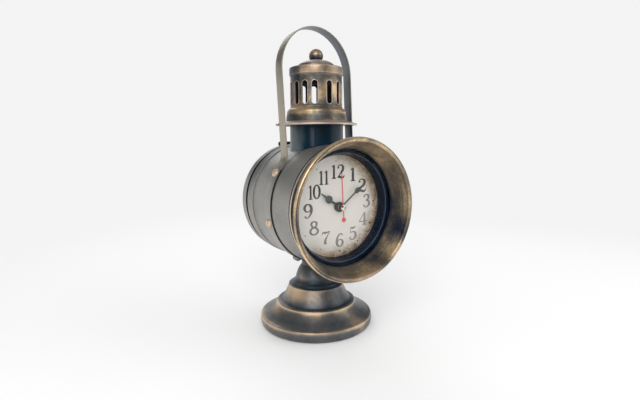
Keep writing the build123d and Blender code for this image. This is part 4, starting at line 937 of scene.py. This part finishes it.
def makeStrap(look):
    strip = drawWire("handleStrap", [(x * mm, strapEdge(look, z) * mm, z * mm) for x, z in strapPath(look)])
    editAll(strip)
    bpy.ops.mesh.remove_doubles(threshold=1e-7)
    bpy.ops.mesh.extrude_region_move(TRANSFORM_OT_translate={"value": (0, look["width"] * mm, 0)})
    faceOut()
    outside = max(strip.data.polygons, key=lambda face: face.center.z).normal.z > 0
    useModifier(strip, "SOLIDIFY", thickness=look["sheet"] * mm, offset=1 if outside else -1)
    editAll(strip)
    faceOut()
    softenEdges(strip, 0.28, segments=3)
    shadeSmooth(strip)
    finish(strip, "handle_strap", strapMetal)
    spring = (look["top"] - look["arch"]) * mm

    def choose(face):
        # round the barrel it has the barrel's finish, and its front edge is painted black: a painted shadow
        # line
        if face.center.z < look["plainBelow"] * mm:
            return 3 if face.normal.y < -0.4 else 2
        # the legs' and the arch's inner faces are darker and bluer
        inward = -face.center.x * face.normal.x - (face.center.z - spring) * face.normal.z
        side = face.center.z > look["bareAbove"] * mm and abs(face.normal.y) < 0.5
        return side and inward > look["inward"] * mm

    paintFaces(strip, (strapInside, pewter, blackFitting), choose)


def makeRivets(look):
    head, side, top = look["head"], look["side"], look["top"]
    dome = spunPiece("rivetDome", [
        (0, look["foot"]), (head, look["foot"]), (head, side), (head * 0.93, side * 1.5, 0.1),
        (head * 0.6, top - 0.3, 0.18), (0, top, 0.08)], segments=40, edge=0.1)
    domes = []
    for angle in [-a for a in look["angles"]] + list(look["angles"]):
        out = math.radians(angle)
        axis = Vector((math.sin(out), 0, math.cos(out)))
        centre = axis * barrelRadius * mm + Vector((0, look["y"] * mm, barrelAxis * mm))
        turn = axis.to_track_quat("Z", "Y").to_matrix().to_4x4()
        domes.append(copyOf(dome, "strapRivet", Matrix.Translation(centre) @ turn))
    bpy.data.objects.remove(dome)
    rivets = joinAll(domes)
    finish(rivets, "strap_rivets", copperGold)
    # the lowest pair is painted with the barrel's darker finish: painted shade under the barrel
    paintFaces(rivets, (barrelPewter,), lambda face: face.center.z < look["shadedBelow"] * mm)


makeStrap(strap)
makeRivets(rivet)
print("handle made")

# numerals: pen strokes with thick and thin, drawn flat on the dial; x, y and half width in digit heights
digitStrokes = {
    "0": [(1, [(0.31, 0.97, 0.03), (0.52, 0.78, 0.07), (0.57, 0.5, 0.085), (0.52, 0.22, 0.07),
               (0.31, 0.03, 0.03), (0.1, 0.22, 0.07), (0.05, 0.5, 0.085), (0.1, 0.78, 0.07)])],
    "1": [(0, [(0.22, 0.97, 0.06), (0.22, 0.04, 0.072)]), (0, [(0.05, 0.025, 0.025), (0.39, 0.025, 0.025)]),
          (0, [(0.05, 0.84, 0.02), (0.14, 0.88, 0.03), (0.22, 0.97, 0.045)])],
    "2": [(0, [(0.14, 0.73, 0.075), (0.11, 0.86, 0.03), (0.3, 0.97, 0.03), (0.5, 0.82, 0.075),
               (0.46, 0.58, 0.075), (0.26, 0.33, 0.035), (0.06, 0.06, 0.025)]),
          (0, [(0.06, 0.07, 0.03), (0.2, 0.12, 0.06), (0.4, 0.06, 0.065), (0.55, 0.1, 0.04),
               (0.6, 0.25, 0.02)])],
    "3": [(0, [(0.12, 0.78, 0.07), (0.13, 0.91, 0.03), (0.3, 0.97, 0.03), (0.47, 0.84, 0.065),
               (0.43, 0.64, 0.055), (0.25, 0.54, 0.02)]),
          (0, [(0.25, 0.54, 0.02), (0.47, 0.45, 0.055), (0.52, 0.25, 0.08), (0.36, 0.05, 0.04),
               (0.2, 0.03, 0.03), (0.09, 0.11, 0.03), (0.12, 0.22, 0.07)])],
    "4": [(0, [(0.42, 0.98, 0.045), (0.42, 0.04, 0.07)]), (0, [(0.26, 0.025, 0.025), (0.57, 0.025, 0.025)]),
          (0, [(0.41, 0.97, 0.025), (0.03, 0.3, 0.02)]), (0, [(0.03, 0.29, 0.03), (0.62, 0.29, 0.03)])],
    "5": [(0, [(0.14, 0.95, 0.02), (0.11, 0.56, 0.02)]),
          (0, [(0.14, 0.93, 0.045), (0.34, 0.9, 0.055), (0.54, 0.99, 0.02)]),
          (0, [(0.11, 0.54, 0.02), (0.3, 0.62, 0.03), (0.5, 0.48, 0.07), (0.52, 0.25, 0.08),
               (0.34, 0.04, 0.035), (0.17, 0.03, 0.03), (0.08, 0.12, 0.03), (0.11, 0.22, 0.07)])],
    "6": [(0, [(0.49, 0.84, 0.065), (0.47, 0.94, 0.03), (0.35, 0.98, 0.03), (0.17, 0.8, 0.05),
               (0.08, 0.45, 0.08), (0.13, 0.17, 0.07), (0.31, 0.03, 0.03), (0.49, 0.14, 0.06),
               (0.53, 0.33, 0.07), (0.43, 0.52, 0.04), (0.28, 0.55, 0.025), (0.13, 0.4, 0.03)])],
    "7": [(0, [(0.05, 0.76, 0.02), (0.1, 0.93, 0.035), (0.26, 0.89, 0.06), (0.42, 0.93, 0.04),
               (0.58, 0.98, 0.02)]),
          (0, [(0.57, 0.97, 0.02), (0.37, 0.6, 0.035), (0.25, 0.3, 0.065), (0.26, 0.06, 0.08)])],
    "8": [(1, [(0.3, 0.97, 0.03), (0.46, 0.86, 0.055), (0.44, 0.66, 0.05), (0.3, 0.55, 0.04),
               (0.15, 0.68, 0.05), (0.13, 0.86, 0.055)]),
          (1, [(0.3, 0.54, 0.04), (0.5, 0.42, 0.055), (0.54, 0.2, 0.06), (0.3, 0.03, 0.03),
               (0.06, 0.2, 0.055), (0.1, 0.42, 0.055)])],
}
digitStrokes["9"] = [(0, [(0.6 - x, 1 - y, w) for x, y, w in digitStrokes["6"][0][1]])]
numerals = {
    "height": 11.6, "wide": 1.16, "step": 0.72, "stepOne": 0.46, "weight": 1.45, "circle": 29.6,
    "ahead": 36.0, "ink": 0.05, "dotCircle": 38.6, "dot": 0.75, "dotTurn": -3.0, "dotsFrom": 37.4,
    "lastGap": 0.1,
    # how far each hour stands off its even place, and how wide it is drawn
    "off": {1: (0.3, 1.0, 1.15), 2: (0, 1.7, 1.08), 3: (1.2, 2.6, 1.0), 4: (1.4, 1.8, 1.15),
            5: (1.2, 0.9, 1.0), 6: (2.0, 0.4, 1.0), 7: (2.8, 0, 1.1), 8: (2.0, -1.0, 1.08),
            9: (0.4, -1.1, 1.05), 10: (2.2, -0.8, 0.78), 11: (0.4, -0.4, 0.83), 12: (0, 0, 0.93)},
}


def drawNumber(number, look):
    # one curve object for each hour, made a mesh before it is put in place
    dropSelection()
    bpy.ops.curve.primitive_bezier_curve_add()
    hour = bpy.context.object
    hour.name = f"numeral{number}"
    curve = hour.data
    curve.splines.clear()
    curve.bevel_depth, curve.bevel_resolution, curve.resolution_u = 1.0, 3, 8
    curve.use_fill_caps = True
    offset, spots = 0, []
    for digit in str(number):
        step = (look["stepOne"] if digit == "1" else look["step"]) * look["wide"]
        spots.append((digit, offset))
        offset += step
    middle = (offset - look["lastGap"]) / 2
    across, above, wide = look["off"][number]
    for digit, left in spots:
        for loop, points in digitStrokes[digit]:
            spline = curve.splines.new("BEZIER")
            spline.bezier_points.add(len(points) - 1)
            spline.use_cyclic_u = bool(loop)
            for knot, (x, y, w) in zip(spline.bezier_points, points):
                knot.co = (x * look["wide"] + left - middle, y - 0.5, 0)
                knot.radius = w * look["weight"]
                knot.handle_left_type = knot.handle_right_type = "AUTO"
    onlySelect(hour)
    bpy.ops.object.convert(target="MESH")
    hour = bpy.context.object
    size = look["height"] * mm
    turn = math.radians(number * 30)
    spot = ((look["circle"] * math.sin(turn) + across) * mm, (look["circle"] * math.cos(turn) + above) * mm,
            look["ahead"] * mm)
    flat = Matrix.Diagonal((size * wide, size, look["ink"] * mm / 0.1, 1))
    putAt(hour, alongBarrel @ Matrix.Translation(spot) @ flat)
    return hour


def makeNumerals(look):
    marks = [drawNumber(number, look) for number in range(1, 13)]
    away, low, high = look["dotCircle"] * mm, look["ahead"], look["ahead"] + look["ink"]
    button = [(0, low), (look["dot"], low), (look["dot"], low + look["ink"] * 0.6), (0, high)]
    for number in range(12):
        turn = math.radians(number * 30 + look["dotTurn"])
        place = Matrix.Translation((away * math.sin(turn), 0, away * math.cos(turn))) @ alongBarrel
        marks.append(spunPiece("hourDot", button, place, segments=16, edge=0))
    ink = joinAll(marks)
    ink.name = "dialNumerals"
    ink.data.materials.clear()
    inks = dialInk("fadedInk", inkLook), dialInk("dotInk", dotLook)
    paintFaces(ink, inks, lambda face: fromAxis(face) > look["dotsFrom"] * mm)
    shadeSmooth(ink, 60)
    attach(ink, "clock_body")


makeNumerals(numerals)
print("numerals made")

# floor, backdrop light and lamps, and a dark ceiling that only the metal mirrors
studio = {
    "paper": 0.9, "ambient": 0.62, "floor": 0.95, "fade": (0.32, 0.75), "domeRadius": 2.4, "domeTilt": 9.0,
    "domeLift": 0.45, "domeColour": (0.03, 0.045, 0.06), "aim": (0, 0, 0.12),
    "lamps": [("keyLamp", (-0.75, -0.9, 0.85), 1.1, 11.0), ("fillLamp", (0.9, -0.7, 0.6), 0.9, 3.5),
              ("backLamp", (0.3, 0.9, 0.8), 0.8, 3.0)],
}


def seenRays(tree):
    path = addNode(tree, "ShaderNodeLightPath")
    seen = mathNode(tree, "MAXIMUM", path.outputs["Is Camera Ray"], path.outputs["Is Transmission Ray"])
    return mathNode(tree, "MAXIMUM", seen, path.outputs["Is Glossy Ray"])


def makeFloor(look):
    # lit paper round the clock that passes into the backdrop's white further out
    dropSelection()
    bpy.ops.mesh.primitive_plane_add(size=30, location=(0, 0, 0))
    floor = bpy.context.object
    floor.name = "studioFloor"
    material, tree, shader, place = newMaterial("floorPaper")
    tone = look["floor"]
    paper = mixColours(tree, noiseAt(tree, place, 3), (tone * 0.99,) * 3, (tone,) * 3)
    setSockets(tree, shader, {"Base Color": paper, "Roughness": 0.9, "Specular IOR Level": 0.1})
    distance = addNode(tree, "ShaderNodeVectorMath", {0: place}, operation="LENGTH").outputs["Value"]
    near, far = look["fade"]
    fade = addNode(tree, "ShaderNodeMapRange", {"Value": distance, "From Min": near, "From Max": far},
                   interpolation_type="SMOOTHSTEP")
    glow = addNode(tree, "ShaderNodeEmission", {"Strength": look["paper"]})
    share = mathNode(tree, "MULTIPLY", fade.outputs[0], seenRays(tree))
    mix = addNode(tree, "ShaderNodeMixShader", {0: share, 1: shader.outputs[0], 2: glow.outputs[0]})
    setSockets(tree, tree.nodes["Material Output"], {"Surface": mix.outputs[0]})
    floor.data.materials.append(material)


def makeCeiling(look):
    dropSelection()
    bpy.ops.mesh.primitive_uv_sphere_add(segments=48, ring_count=24, radius=look["domeRadius"])
    ceiling = bpy.context.object
    ceiling.name = "darkCeiling"
    editAll(ceiling)
    tilt = math.radians(look["domeTilt"])
    bpy.ops.mesh.bisect(plane_co=(0, 0, look["domeLift"]), plane_no=(0, -math.sin(tilt), math.cos(tilt)),
                        clear_inner=True)
    bpy.ops.object.mode_set(mode="OBJECT")
    cloth = {"colour": look["domeColour"], "rough": 1.0, "scale": 2}
    ceiling.data.materials.append(plainSkin("ceilingCloth", cloth))
    ceiling.visible_camera = ceiling.visible_diffuse = ceiling.visible_shadow = False
    ceiling.visible_transmission = False


def makeStudio(look):
    makeFloor(look)
    makeCeiling(look)
    world = bpy.data.worlds.new("studioWorld")
    bpy.context.scene.world = world
    world.use_nodes = True
    tree = world.node_tree
    strength = addNode(tree, "ShaderNodeMapRange", {
        "Value": seenRays(tree), "To Min": look["ambient"], "To Max": look["paper"]})
    setSockets(tree, tree.nodes["Background"], {"Color": (1, 1, 1, 1), "Strength": strength.outputs[0]})
    for name, spot, size, power in look["lamps"]:
        bpy.ops.object.light_add(type="AREA", location=spot)
        lamp = bpy.context.object
        lamp.name = name
        lamp.data.size = size
        lamp.data.energy = power
        aim = Vector(look["aim"]) - Vector(spot)
        lamp.rotation_euler = aim.to_track_quat("-Z", "Y").to_euler()


makeStudio(studio)

camera = {"place": (-0.20472, -0.32678, 0.16882), "heading": 32.71, "dip": 8.05, "roll": 0.35, "lens": 23.97,
          "sensor": 36}
bpy.ops.object.camera_add(location=camera["place"])
eye = bpy.context.object
turn, dip = math.radians(camera["heading"]), math.radians(camera["dip"])
aim = Vector((math.sin(turn) * math.cos(dip), math.cos(turn) * math.cos(dip), -math.sin(dip)))
level = aim.to_track_quat("-Z", "Y").to_matrix()
eye.rotation_euler = (level @ Matrix.Rotation(math.radians(-camera["roll"]), 3, "Z")).to_euler()
eye.data.lens = camera["lens"]
eye.data.sensor_width = camera["sensor"]
bpy.context.scene.camera = eye
bpy.context.scene.view_settings.view_transform = "Standard"
print("studio made")
